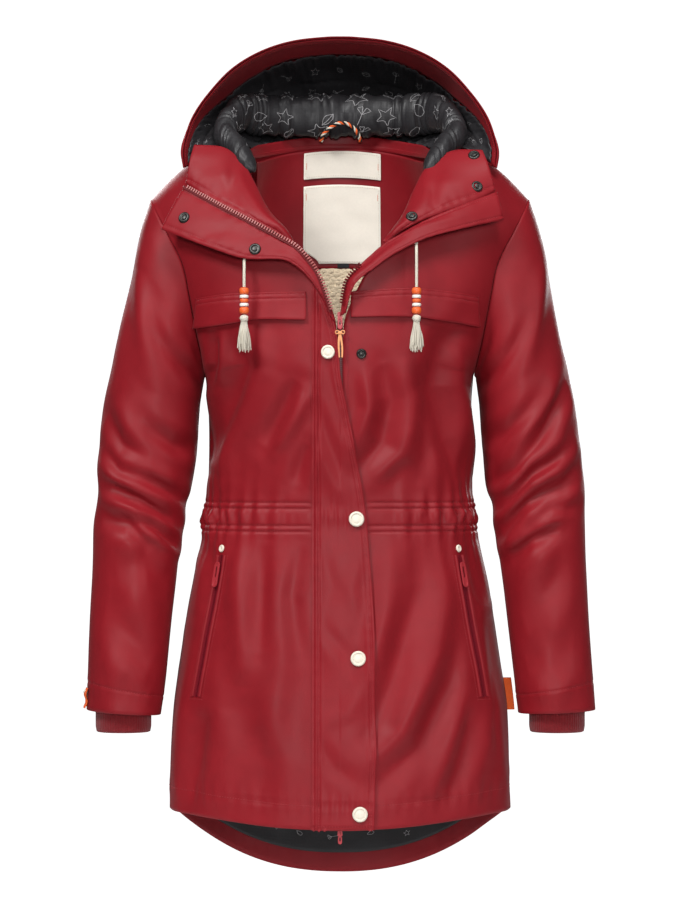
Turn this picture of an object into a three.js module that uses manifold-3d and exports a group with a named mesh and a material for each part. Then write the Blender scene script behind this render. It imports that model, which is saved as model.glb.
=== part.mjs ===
// A hooded women's raincoat in coated cloth, worn open at the neck, with nobody in it.
// Millimetres, +Z up. The origin is the middle of the neck opening, at the height of the neck's sides.
// The coat faces -Y. Left and right are the wearer's, so the left half lies at +X.
import * as THREE from "three";
import { mergeVertices } from "three/addons/utils/BufferGeometryUtils.js";
import Module from "manifold-3d";

const wasm = await Module();
wasm.setup();

// Cloth
const WALL = 2;
const EDGE_WALL = 1.1;
const SEAM = 0.4;
const SHOULDER_SEAM = 0.7;
const COLLAR_WALL = 2.6;
const RIB_WALL = 3;
const LINING_WALL = 1.4;

// Body rings, from the hem to the armpit: half width, and depth to the front and to the back
const BODY_POWER = 2 / 2.3;
const BODY = [
  { z: -910, half: 206, front: 144, back: 147 },
  { z: -787, half: 204, front: 141, back: 142 },
  { z: -700, half: 201, front: 137, back: 137 },
  { z: -655, half: 198, front: 134, back: 133 },
  { z: -590, half: 189, front: 130, back: 126 },
  { z: -540, half: 181, front: 124, back: 118 },
  { z: -490, half: 170, front: 117, back: 108 },
  { z: -440, half: 160, front: 112, back: 100 },
  { z: -400, half: 158, front: 114, back: 101 },
  { z: -350, half: 157, front: 120, back: 107 },
  { z: -300, half: 158, front: 125, back: 112 },
  { z: -271, half: 160, front: 127, back: 114 },
];
const ARMPIT = -271;
const HEM = -787;
const HEM_BAND = -700;
const FRONT_HEM_DROP = 14;
const BACK_HEM_DROP = 95;
const FRONT_EDGE_X = 4;

// Armhole loop, from the armpit to the shoulder
const SHOULDER = -60;
const ARMHOLE_DEPTH = 62;
const ARMHOLE = [
  { z: -271, x: 160 },
  { z: -255, x: 163 },
  { z: -222, x: 170 },
  { z: -178, x: 178 },
  { z: -138, x: 187 },
  { z: -99, x: 207 },
  { z: -72, x: 221 },
  { z: -60, x: 226 },
];

// Edge of each front, up the zip to the bottom of the open neck, then up the fold of the lapel
const FRONT_EDGE = [
  { t: 0, x: 4, y: -127, z: -271 },
  { t: 0.13, x: 4, y: -127, z: -238 },
  { t: 0.26, x: 8, y: -125, z: -202 },
  { t: 0.42, x: 34, y: -121, z: -147 },
  { t: 0.54, x: 52, y: -113, z: -119 },
  { t: 0.7, x: 85, y: -88, z: -79 },
  { t: 0.85, x: 103, y: -57, z: -41 },
  { t: 1, x: 110, y: -14, z: -5 },
];
const SHOULDER_ROLL = 0.72;
const SHOULDER_CROWN = 22;
const NECK_BACK = { y: 98, z: 15 };
const NECK_SHARE = 0.481;

// Waist channel, with its gathers a side in front and behind
const WAIST = { z: -439, tall: 24, high: 3.4, from: 20, front: 8, back: 6 };
// Largest folds of the body: where round the ring, in degrees from centre front, and how they run
const FOLDS = [
  { round: 24, z: -610, tall: 120, wide: 7, lean: 0.03, high: 4 },
  { round: 44, z: -640, tall: 140, wide: 8, lean: -0.04, high: 4.5 },
  { round: 66, z: -690, tall: 110, wide: 8, lean: -0.03, high: 5 },
  { round: 58, z: -360, tall: 55, wide: 8, lean: 0.06, high: 4 },
  { round: 112, z: -660, tall: 140, wide: 9, lean: 0.03, high: 5 },
  { round: 138, z: -620, tall: 130, wide: 8, lean: -0.03, high: 5 },
  { round: 160, z: -690, tall: 130, wide: 8, lean: 0.02, high: 4.5 },
  { round: 130, z: -350, tall: 60, wide: 9, lean: -0.05, high: 4 },
];
// Heights of the rows: millimetres up to the armpit, and above it the share up to the shoulder
const ROWS = [
  -787, -755, -700, -650, -600, -550, -508, -478, -459, -439, -419, -398, -360, -315, -271, -230, -190,
  -150, -110, -70, -34, 0,
];

// Sleeves, ring by ring from the armhole: innermost and outermost point, depth and place in depth
const SLEEVE_LEFT = [
  { k: 0, ix: 160, iz: -271, ox: 226, oz: -60, deep: 62, y: 0 },
  { k: 1, ix: 163, iz: -278, ox: 241, oz: -104, deep: 66, y: -1 },
  { k: 2, ix: 167, iz: -302, ox: 251, oz: -145, deep: 66, y: -3 },
  { k: 3, ix: 169, iz: -332, ox: 258, oz: -190, deep: 65, y: -5 },
  { k: 4, ix: 171, iz: -364, ox: 268, oz: -247, deep: 63, y: -7 },
  { k: 5, ix: 174, iz: -395, ox: 277, oz: -290, deep: 61, y: -9 },
  { k: 6, ix: 182, iz: -421, ox: 284, oz: -330, deep: 59, y: -11 },
  { k: 7, ix: 184, iz: -449, ox: 287, oz: -368, deep: 57, y: -14 },
  { k: 8, ix: 189, iz: -478, ox: 291, oz: -409, deep: 56, y: -17 },
  { k: 9, ix: 193, iz: -506, ox: 291, oz: -452, deep: 54, y: -20 },
  { k: 10, ix: 200, iz: -565, ox: 296, oz: -528, deep: 51, y: -26 },
  { k: 11, ix: 207, iz: -626, ox: 300, oz: -600, deep: 47, y: -32 },
  { k: 12, ix: 212, iz: -672, ox: 304, oz: -668, deep: 43, y: -37 },
];
const SLEEVE_RIGHT = [
  { k: 0, ix: 160, iz: -271, ox: 226, oz: -60, deep: 62, y: 0 },
  { k: 1, ix: 163, iz: -278, ox: 240, oz: -104, deep: 66, y: -1 },
  { k: 2, ix: 167, iz: -302, ox: 249, oz: -145, deep: 66, y: -3 },
  { k: 3, ix: 169, iz: -332, ox: 258, oz: -190, deep: 65, y: -5 },
  { k: 4, ix: 172, iz: -364, ox: 270, oz: -247, deep: 63, y: -7 },
  { k: 5, ix: 176, iz: -395, ox: 281, oz: -300, deep: 61, y: -9 },
  { k: 6, ix: 185, iz: -421, ox: 287, oz: -346, deep: 59, y: -11 },
  { k: 7, ix: 188, iz: -449, ox: 290, oz: -383, deep: 57, y: -14 },
  { k: 8, ix: 191, iz: -478, ox: 288, oz: -412, deep: 56, y: -17 },
  { k: 9, ix: 195, iz: -510, ox: 293, oz: -452, deep: 54, y: -20 },
  { k: 10, ix: 202, iz: -572, ox: 296, oz: -528, deep: 51, y: -26 },
  { k: 11, ix: 208, iz: -628, ox: 300, oz: -600, deep: 47, y: -32 },
  { k: 12, ix: 213, iz: -674, ox: 302, oz: -668, deep: 43, y: -37 },
];
const SLEEVE_ROUND = 14;
// Folds across the bent elbow: ring, how far round in degrees from the armpit side, height
const ELBOW = [
  { k: 5.6, round: 60, wide: 70, high: 4.5 },
  { k: 6.8, round: 95, wide: 75, high: 5 },
  { k: 8, round: 70, wide: 70, high: 4.5 },
  { k: 9, round: 110, wide: 60, high: 3.5 },
];
const CUFF = { half: 33, deep: 30, bottom: -694, waist: -672, y: -38 };
const CUFF_RING = 11.75;

// Hood: the front rim from the lower corner to the crown, on the left half
const HOOD_RIM = [
  { s: 0, x: 186, y: -46, z: -26 },
  { s: 0.039, x: 188, y: -42, z: -6 },
  { s: 0.071, x: 185, y: -37, z: 12 },
  { s: 0.12, x: 176, y: -29, z: 38 },
  { s: 0.18, x: 158, y: -19, z: 66 },
  { s: 0.254, x: 130, y: -9, z: 97 },
  { s: 0.329, x: 95, y: -2, z: 119 },
  { s: 0.403, x: 55, y: 2, z: 132 },
  { s: 0.5, x: 0, y: 4, z: 138 },
];
const HOOD_NECK = { x: 114, front: -16, back: 101, z: 9, rise: 12, seam: 0.9 };
const HOOD_CENTRE = 0.36;
const HOOD_FACING = 0.2;
const HOOD_GAP = 1;

// Padded roll of lining round the back of the neck, half of its path from the front end
const ROLL = [
  { q: 0, x: 112, y: -36, z: -2, tall: 7, thick: 6 },
  { q: 0.08, x: 122, y: -30, z: 3, tall: 13, thick: 10 },
  { q: 0.18, x: 135, y: -10, z: 21, tall: 18, thick: 14 },
  { q: 0.28, x: 121, y: 31, z: 47, tall: 23, thick: 14 },
  { q: 0.38, x: 78, y: 66, z: 47, tall: 27, thick: 14 },
  { q: 0.5, x: 0, y: 80, z: 48, tall: 28, thick: 14 },
];
const ROLL_STEPS = 36;
const ROLL_GATHER = 0.09;

// Lapels, by rows from the bottom of the open neck: the fold, and the seam or the free edge
const COLLAR_RIGHT = [
  { v: 0, ax: 50, ay: -115.2, az: -122, bx: 54, by: -120.2, bz: -122 },
  { v: 0.2, ax: 63, ay: -113, az: -101, bx: 72, by: -122, bz: -108 },
  { v: 0.4, ax: 84, ay: -95, az: -77, bx: 96, by: -115, bz: -95 },
  { v: 0.55, ax: 102, ay: -66, az: -41, bx: 121, by: -104, bz: -81 },
  { v: 0.7, ax: 115, ay: -53, az: -20, bx: 146, by: -92, bz: -69 },
  { v: 0.85, ax: 137, ay: -47, az: -1, bx: 165, by: -80, bz: -57 },
  { v: 1, ax: 172, ay: -52, az: 2, bx: 182, by: -68, bz: -45 },
];
const COLLAR_LEFT = [
  { v: 0, ax: 50, ay: -115.5, az: -116, bx: 54, by: -118.5, bz: -118 },
  { v: 0.2, ax: 59, ay: -112, az: -104, bx: 70, by: -120, bz: -106 },
  { v: 0.4, ax: 74, ay: -97, az: -82, bx: 90, by: -115, bz: -94 },
  { v: 0.55, ax: 87, ay: -74, az: -52, bx: 112, by: -108, bz: -84 },
  { v: 0.7, ax: 103, ay: -54, az: -24, bx: 134, by: -99, bz: -75 },
  { v: 0.85, ax: 132, ay: -47, az: -5, bx: 157, by: -88, bz: -67 },
  { v: 1, ax: 168, ay: -52, az: -4, bx: 183, by: -72, bz: -54 },
];
const WIND_FLAP = [
  { v: 0, ax: 7, ay: -136, az: -210, bx: 11, by: -137, bz: -203 },
  { v: 0.1, ax: 13, ay: -137, az: -188, bx: 19, by: -139, bz: -184 },
  { v: 0.2, ax: 23, ay: -137, az: -160, bx: 36, by: -141, bz: -160 },
  { v: 0.3, ax: 36, ay: -135, az: -139, bx: 52, by: -140, bz: -145 },
  { v: 0.4, ax: 51, ay: -131, az: -123, bx: 69, by: -139, bz: -138 },
  { v: 0.55, ax: 73, ay: -125, az: -110, bx: 109, by: -132, bz: -137 },
  { v: 0.7, ax: 98, ay: -117, az: -96, bx: 139, by: -123, bz: -128 },
  { v: 0.85, ax: 135, ay: -99, az: -76, bx: 171, by: -107, bz: -115 },
  { v: 1, ax: 184, ay: -70, az: -48, bx: 211, by: -80, bz: -99 },
];
const LEFT_EDGE = [
  { v: 0, ax: 1, ay: -134, az: -203, bx: 5, by: -137, bz: -200 },
  { v: 0.12, ax: 4, ay: -134, az: -178, bx: 10, by: -139, bz: -182 },
  { v: 0.25, ax: 9, ay: -131, az: -161, bx: 18, by: -141, bz: -165 },
  { v: 0.38, ax: 24, ay: -129, az: -144, bx: 36, by: -141, bz: -150 },
  { v: 0.5, ax: 51, ay: -125, az: -120, bx: 58, by: -139, bz: -134 },
  { v: 0.62, ax: 71, ay: -123, az: -108, bx: 88, by: -133, bz: -118 },
  { v: 0.75, ax: 99, ay: -114, az: -92, bx: 113, by: -126, bz: -108 },
  { v: 0.88, ax: 140, ay: -99, az: -74, bx: 151, by: -109, bz: -98 },
  { v: 1, ax: 185, ay: -74, az: -56, bx: 193, by: -84, bz: -88 },
];
const COLLAR_PUFF = 5;

// Placket over the zip, sewn down its right seam: free edge by height
const PLACKET_SEAM_X = -32;
const PLACKET = [
  { z: -803, free: 39 },
  { z: -697, free: 41 },
  { z: -559, free: 38 },
  { z: -488, free: 34 },
  { z: -424, free: 28 },
  { z: -354, free: 16 },
  { z: -313, free: 8 },
  { z: -271, free: 0 },
  { z: -238, free: -2 },
  { z: -212, free: -7 },
  { z: -190, free: -15 },
  { z: -170, free: -26 },
];
const PLACKET_LIFT = 2.2;

// Zip
const ZIP_HALF = 3.5;
const ZIP_TOP = -212;
const ZIP_BOTTOM = -800;
const TOOTH_HALF = 1.6;
const PULL_THICK = 1.8;

// Chest flaps: corners of the top and lower edges by share from the centre to the armhole
const FLAP_RIGHT = [
  { u: 0, x: -40, top: -176, low: -208 },
  { u: 0.45, x: -98, top: -177, low: -207 },
  { u: 0.7, x: -132, top: -178, low: -212 },
  { u: 1, x: -169, top: -182, low: -215 },
];
const FLAP_LEFT = [
  { u: 0, x: 13, top: -176, low: -205 },
  { u: 0.45, x: 82, top: -172, low: -204 },
  { u: 0.75, x: 126, top: -175, low: -209 },
  { u: 1, x: 162, top: -180, low: -214 },
];
const FLAP_LIFT = 4;

// Zipped hand pockets, from the top end to the bottom
const POCKET = { topX: 139, topZ: -484, bottomX: 169, bottomZ: -650, wide: 11, wall: 1.6 };
const POCKET_PULL = { z: -493, long: 30, wide: 9 };
const RIVET_R = 4.4;

// Round snap buttons down the placket, and the small dark snaps
const BUTTON_T = 3;
const BUTTONS = [
  { name: "button_1", x: -14, z: -246, radius: 8.1, seat: 4.9 },
  { name: "button_2", x: 19, z: -441, radius: 9, seat: 5.4 },
  { name: "button_3", x: 21, z: -603, radius: 9, seat: 5.1 },
  { name: "button_4", x: 23, z: -783, radius: 9, seat: 5.1 },
];
const SNAP_STUD = { x: 25, z: -248, radius: 6, thick: 3 };
const SNAP_R = 7;

// Drawcords with five beads, a knot and a tassel
const CORD_R = 1.7;
const BEAD_R = 5.6;
const CORDS = [
  { side: "right", x: -111.5, y: -133.5, top: -139, tuck: 8.4, beads: -171 },
  { side: "left", x: 89, y: -135.5, top: -121, tuck: 9.2, beads: -171 },
];
const TASSEL = { strands: 11, long: 36, lean: 0.19, head: 5.2 };

// Inside of the back neck
const FACING = { span: 39, low: -137 };
const FLEECE = { span: 33, low: -226 };
const LINING_LOW = { gap: 24, top: -690 };
const LABELS = [
  { name: "label_upper", left: -46, right: 52, top: 7, low: -25, cut: 0 },
  { name: "label_lower", left: -46, right: 51, top: -34, low: -130, cut: 19 },
  { name: "label_size", left: -3, right: 11, top: -130.8, low: -135.4, cut: 0 },
];

const RED = 0xa32a33;
const DEEP_RED = 0x7a1622;
const BLACK = 0x252325;
const CREAM = 0xe8e0d2;
const ORANGE = 0xe8642a;
const GUNMETAL = 0x46443f;

const cloth = (color) => new THREE.MeshStandardMaterial({ color, roughness: 0.5, metalness: 0 });
const metal = (color) => new THREE.MeshStandardMaterial({ color, roughness: 0.35, metalness: 0.9 });

const coat = new THREE.Group();

function add(name, geometry, material) {
  const mesh = new THREE.Mesh(geometry, material);
  mesh.name = name;
  coat.add(mesh);
}

// A row of a table of named columns at a value of one column, by a smooth curve through the rows.
function sample(rows, by, at) {
  const last = rows.length - 1;
  const rising = rows[last][by] > rows[0][by];
  let k = rows.findIndex((row) => (rising ? row[by] >= at : row[by] <= at));
  k = THREE.MathUtils.clamp(k < 0 ? last : k, 1, last);
  const a = rows[k - 1];
  const b = rows[k];
  const before = rows[Math.max(k - 2, 0)];
  const after = rows[Math.min(k + 1, last)];
  const span = b[by] - a[by];
  const r = THREE.MathUtils.clamp((at - a[by]) / span, 0, 1);
  const out = {};
  for (const name of Object.keys(a)) {
    const leave = (span * (b[name] - before[name])) / (b[by] - before[by]);
    const reach = (span * (after[name] - a[name])) / (after[by] - a[by]);
    out[name] =
      a[name] * (1 + 2 * r) * (1 - r) ** 2 +
      leave * r * (1 - r) ** 2 +
      b[name] * r * r * (3 - 2 * r) +
      reach * r * r * (r - 1);
  }
  return out;
}

const point = (x, y, z) => new THREE.Vector3(x, y, z);
const mirrored = (p, side) => point(side * p.x, p.y, p.z);
const smooth = (r) => THREE.MathUtils.smoothstep(r, 0, 1);
const steps = (count, from = 0, to = 1) =>
  Array.from({ length: count + 1 }, (_, i) => from + ((to - from) * i) / count);
const bump = (away, wide) => Math.exp(-((away / wide) ** 2));
const signedPower = (value, power) => Math.sign(value) * Math.abs(value) ** power;

// A closed solid from rows of an outer and an inner grid of points. A round one joins its columns.
function wallSolid(outer, inner, round) {
  const rows = outer.length;
  const cols = outer[0].length;
  const positions = [...outer.flat(), ...inner.flat()].flatMap((p) => [p.x, p.y, p.z]);
  const faces = [];
  const at = (layer, j, i) => layer * rows * cols + j * cols + (i % cols);
  const quad = (a, b, c, d) => faces.push(a, b, c, a, c, d);
  const across = round ? cols : cols - 1;
  for (let j = 0; j < rows - 1; j++)
    for (let i = 0; i < across; i++) {
      quad(at(0, j, i), at(0, j, i + 1), at(0, j + 1, i + 1), at(0, j + 1, i));
      quad(at(1, j, i), at(1, j + 1, i), at(1, j + 1, i + 1), at(1, j, i + 1));
    }
  for (let i = 0; i < across; i++) {
    quad(at(0, 0, i), at(1, 0, i), at(1, 0, i + 1), at(0, 0, i + 1));
    quad(at(0, rows - 1, i), at(0, rows - 1, i + 1), at(1, rows - 1, i + 1), at(1, rows - 1, i));
  }
  for (let j = 0; j < rows - 1 && !round; j++) {
    quad(at(0, j, 0), at(0, j + 1, 0), at(1, j + 1, 0), at(1, j, 0));
    quad(at(0, j, cols - 1), at(1, j, cols - 1), at(1, j + 1, cols - 1), at(0, j + 1, cols - 1));
  }
  return facingOut(positions, faces);
}

function facingOut(positions, faces) {
  const corner = (k) => new THREE.Vector3().fromArray(positions, 3 * faces[k]);
  let volume = 0;
  for (let k = 0; k < faces.length; k += 3) volume += corner(k).dot(corner(k + 1).cross(corner(k + 2)));
  if (volume < 0)
    for (let k = 0; k < faces.length; k += 3) [faces[k + 1], faces[k + 2]] = [faces[k + 2], faces[k + 1]];
  const geometry = new THREE.BufferGeometry();
  geometry.setAttribute("position", new THREE.Float32BufferAttribute(positions, 3));
  geometry.setIndex(faces);
  return geometry;
}

// Unit normal of a surface given as surface(u, v), towards the side that outward names.
function normalAt(surface, u, v, du, dv) {
  const across = surface(u + du, v).sub(surface(u - du, v));
  const up = surface(u, v + dv).sub(surface(u, v - dv));
  return across.cross(up).normalize();
}

// Cloth: surface(u, v) is its outer face, and its wall goes depth(u, v) against the normal times turn.
function cloth3d(surface, us, vs, depth, turn, round = false) {
  const du = 1e-3 * Math.abs(us.at(-1) - us[0]);
  const dv = 1e-3 * Math.abs(vs.at(-1) - vs[0]);
  const clampU = (u) => (round ? u : THREE.MathUtils.clamp(u, us[0], us.at(-1)));
  const clampV = (v) => THREE.MathUtils.clamp(v, vs[0], vs.at(-1));
  const held = (u, v) => surface(clampU(u), clampV(v));
  const columns = round ? us.slice(0, -1) : us;
  const outer = vs.map((v) => columns.map((u) => surface(u, v)));
  const inner = vs.map((v, j) =>
    columns.map((u, i) => {
      const normal = normalAt(held, u, v, du, dv).multiplyScalar(turn);
      return outer[j][i].clone().addScaledVector(normal, -(typeof depth === "number" ? depth : depth(u, v)));
    }),
  );
  return wallSolid(outer, inner, round);
}

// Another layer of a surface, moved along its normal.
function layer(surface, away, turn, du, dv) {
  return (u, v) => surface(u, v).addScaledVector(normalAt(surface, u, v, du, dv).multiplyScalar(turn), away);
}

function joined(geometries) {
  const solids = geometries.map((source) => {
    const bare = source.index ? source.toNonIndexed() : source;
    bare.deleteAttribute("normal");
    bare.deleteAttribute("uv");
    const merged = mergeVertices(bare, 1e-3);
    const mesh = { numProp: 3, vertProperties: merged.attributes.position.array };
    return new wasm.Manifold(new wasm.Mesh({ ...mesh, triVerts: new Uint32Array(merged.index.array) }));
  });
  const whole = solids.reduce((a, b) => a.add(b));
  const { vertProperties, triVerts } = whole.getMesh();
  const geometry = new THREE.BufferGeometry();
  geometry.setAttribute("position", new THREE.BufferAttribute(vertProperties, 3));
  return geometry.setIndex(new THREE.BufferAttribute(triVerts, 1));
}

// Body surface
const DEG = Math.PI / 180;
const frontHem = (round) => HEM - FRONT_HEM_DROP * Math.cos(round) ** 4;
const backHem = (round) => HEM - BACK_HEM_DROP * Math.abs(Math.cos(round)) ** 1.8;

const foldLine = (fold, z) => fold.round + fold.lean * (z - fold.z);

// How far the cloth stands out at an angle from centre front, 0 to 180 degrees, and a height.
function relief(round, z) {
  const degrees = Math.abs(round) / DEG;
  const behind = degrees > 90;
  const count = behind ? WAIST.back : WAIST.front;
  const fromSide = Math.abs(90 - degrees) / (90 - WAIST.from);
  let out = 0;
  if (fromSide < 1) {
    const wave = 0.5 - 0.5 * Math.cos(2 * Math.PI * count * (1 - fromSide));
    const uneven = 0.75 + 0.25 * Math.sin(0.37 * degrees);
    out += WAIST.high * wave * uneven * (bump(z - WAIST.z, WAIST.tall) + 0.25 * bump(z - WAIST.z, 75));
  }
  for (const fold of FOLDS)
    out += fold.high * bump(z - fold.z, fold.tall) * bump(degrees - foldLine(fold, z), fold.wide);
  return out;
}

// Body below the armpits: angle from centre front, towards +X.
function lowerBody(round, z) {
  const ring = sample(BODY, "z", z);
  const s = Math.sin(round);
  const c = Math.cos(round);
  const out = relief(round, z);
  return point(
    ring.half * signedPower(s, BODY_POWER) + out * s,
    -(c > 0 ? ring.front : ring.back) * signedPower(c, BODY_POWER) - out * c,
    z,
  );
}

const edgeRound = (z) => Math.asin((FRONT_EDGE_X / sample(BODY, "z", z).half) ** (1 / BODY_POWER));

function armhole(t, facing) {
  const z = (ARMPIT + SHOULDER) / 2 - ((SHOULDER - ARMPIT) / 2) * Math.cos(Math.PI * t);
  return point(sample(ARMHOLE, "z", z).x, facing * ARMHOLE_DEPTH * Math.sin(Math.PI * t), z);
}

function upperFrontRaw(u, t) {
  const edge = sample(FRONT_EDGE, "t", t);
  const arm = armhole(t, -1);
  const turn = Math.PI / 2 - SHOULDER_ROLL * smooth(t);
  const power = THREE.MathUtils.lerp(BODY_POWER, 1, smooth(t));
  const along = (Math.sin(u * turn) / Math.sin(turn)) ** power;
  const end = Math.max(Math.cos(turn), 0) ** power;
  const fall = (Math.max(Math.cos(u * turn), 0) ** power - end) / (1 - end);
  return point(
    THREE.MathUtils.lerp(edge.x, arm.x, along),
    THREE.MathUtils.lerp(arm.y, edge.y, fall),
    THREE.MathUtils.lerp(edge.z, arm.z, along) + SHOULDER_CROWN * Math.sin(Math.PI * along) * smooth(t) ** 2,
  );
}

// Front above the armpit: u from the front edge to the armhole, t from the armpit to the shoulder.
function upperFront(u, t) {
  const start = edgeRound(ARMPIT);
  const seat = lowerBody(start + (Math.PI / 2 - start) * u, ARMPIT).sub(upperFrontRaw(u, 0));
  return upperFrontRaw(u, t).addScaledVector(seat, (1 - t) ** 3);
}

// Top of the back from the centre: the neck seam, then the shoulder seam that the front ends in.
function backTop(u) {
  if (u >= NECK_SHARE) return upperFrontRaw((u - NECK_SHARE) / (1 - NECK_SHARE), 1);
  const turn = ((u / NECK_SHARE) * Math.PI) / 2;
  const side = FRONT_EDGE.at(-1);
  return point(
    side.x * Math.sin(turn),
    side.y + (NECK_BACK.y - side.y) * Math.cos(turn),
    side.z + (NECK_BACK.z - side.z) * Math.cos(turn) ** 2,
  );
}

// Back above the armpit: u from the centre to the armhole.
function upperBack(u, t) {
  const foot = lowerBody(Math.PI * (1 - u / 2), ARMPIT);
  const top = backTop(u);
  const rolled = 1 - Math.sqrt(Math.max(0, 1 - t ** 2.4));
  const over = THREE.MathUtils.lerp(t * t, rolled, smooth(u / NECK_SHARE));
  const raw = (foot0, top0) =>
    point(
      THREE.MathUtils.lerp(foot0.x, top0.x, t),
      THREE.MathUtils.lerp(foot0.y, top0.y, over),
      THREE.MathUtils.lerp(foot0.z, top0.z, t),
    );
  const drift = armhole(t, 1).sub(raw(lowerBody(Math.PI / 2, ARMPIT), backTop(1)));
  return raw(foot, top).addScaledVector(drift, u ** 3);
}

// A row's height code: below the armpit it is Z, with the hem's sweep spread over the lowest band.
function frontPoint(round, row) {
  const start = edgeRound(Math.min(row, ARMPIT));
  const share = (round - start) / (Math.PI / 2 - start);
  if (row > ARMPIT) return upperFront(THREE.MathUtils.clamp(share, 0, 1), 1 - row / ARMPIT);
  return lowerBody(Math.max(round, start), bandZ(row, frontHem(round)));
}

function backPoint(round, row) {
  const share = Math.abs(Math.PI - round) / (Math.PI / 2);
  if (row > ARMPIT) {
    const p = upperBack(Math.min(share, 1), 1 - row / ARMPIT);
    return round > Math.PI ? mirrored(p, -1) : p;
  }
  return lowerBody(round, bandZ(row, backHem(round)));
}

function bandZ(row, hem) {
  return row >= HEM_BAND ? row : THREE.MathUtils.lerp(hem, HEM_BAND, (row - HEM) / (HEM_BAND - HEM));
}

// Where a rising function passes a value, between two limits.
function solve(value, low, high, f) {
  for (let k = 0; k < 26; k++) {
    const mid = (low + high) / 2;
    if (f(mid) < value) low = mid;
    else high = mid;
  }
  return (low + high) / 2;
}

// Depth of the front's outer face under a point of the front view.
function frontY(x, z) {
  const half = Math.abs(x);
  if (z <= ARMPIT) return lowerBody(solve(half, 0, Math.PI / 2, (round) => lowerBody(round, z).x), z).y;
  let u = 0.5;
  let t = 0.5;
  for (let k = 0; k < 14; k++) {
    const p = upperFront(u, t);
    const pu = upperFront(u + 1e-3, t).sub(p).divideScalar(1e-3);
    const pt = upperFront(u, t + 1e-3).sub(p).divideScalar(1e-3);
    const ex = half - p.x;
    const ez = z - p.z;
    const det = pu.x * pt.z - pt.x * pu.z;
    u = THREE.MathUtils.clamp(u + (0.8 * (ex * pt.z - ez * pt.x)) / det, 0, 0.999);
    t = THREE.MathUtils.clamp(t + (0.8 * (pu.x * ez - pu.z * ex)) / det, 0, 0.998);
  }
  return upperFront(u, t).y;
}

const frontNormal = (x, z) =>
  point((frontY(x + 1, z) - frontY(x - 1, z)) / 2, -1, (frontY(x, z + 1) - frontY(x, z - 1)) / 2).normalize();

const overFront = (x, z, off) => point(x, frontY(x, z), z).addScaledVector(frontNormal(x, z), off);

const BACK_HALF = steps(2 * WAIST.back, Math.PI / 2 + 0.0022, (180 - WAIST.from) * DEG);
const BACK_OTHER = BACK_HALF.map((round) => 2 * Math.PI - round).reverse();
const BACK_COLUMNS = [...BACK_HALF, ...[170, 180, 190].map((degrees) => degrees * DEG), ...BACK_OTHER];

// Fronts and back
function bodyPanels() {
  const first = edgeRound(HEM);
  const fan = steps(2 * WAIST.front, WAIST.from * DEG, Math.PI / 2 - 0.0022);
  const columns = [first, 0.5 * (first + WAIST.from * DEG), ...fan];
  const edge = columns.at(-1);
  const thin = (round, row) => (round > edge - 0.01 || row > -1 || round < first + 0.01 ? EDGE_WALL : WALL);
  for (const [name, side] of [["front_left", 1], ["front_right", -1]]) {
    const surface = (round, row) => {
      const start = edgeRound(Math.min(row, ARMPIT));
      const share = Math.max(0, (round - first) / (edge - first));
      const p = frontPoint(start + share * (edge - start), row);
      return mirrored(row >= 0 ? p.add(point(0, -SHOULDER_SEAM, 0)) : p, side);
    };
    add(name, cloth3d(surface, columns, ROWS, thin, side), cloth(RED));
  }
  const across = BACK_COLUMNS;
  const sides = (round) => Math.abs(Math.PI - round) > Math.PI / 2 - 0.01;
  const thinBack = (round, row) => (sides(round) || row > -1 ? EDGE_WALL : WALL);
  const behind = (round, row) => backPoint(round, row).add(point(0, row >= 0 ? SHOULDER_SEAM : 0, 0));
  add("back", cloth3d(behind, across, ROWS, thinBack, 1), cloth(RED));
}

// Sleeves and their knitted cuffs
function sleevePoint(rows, round, k) {
  const ring = sample(rows, "k", k);
  const blend = 0.5 - 0.5 * Math.cos(round);
  const x = THREE.MathUtils.lerp(ring.ix, ring.ox, blend);
  const z = THREE.MathUtils.lerp(ring.iz, ring.oz, blend);
  const loop = sample(ARMHOLE, "z", THREE.MathUtils.lerp(ARMPIT, SHOULDER, blend)).x;
  const straight = THREE.MathUtils.lerp(ARMHOLE[0].x, ARMHOLE.at(-1).x, blend);
  const start = Math.max(0, 1 - k / 2.5) ** 2;
  const degrees = round / DEG;
  let out = 0;
  for (const fold of ELBOW)
    out += fold.high * bump(k - fold.k, 0.45) * bump(degrees - fold.round, fold.wide);
  const tilt = Math.atan2(ring.oz - ring.iz, ring.ox - ring.ix);
  return point(
    x + (loop - straight) * start + 1.1 * Math.max(0, 1 - k) - out * Math.cos(round) * Math.cos(tilt),
    ring.y - (ring.deep + out) * Math.sin(round),
    z - out * Math.cos(round) * Math.sin(tilt),
  );
}

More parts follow.
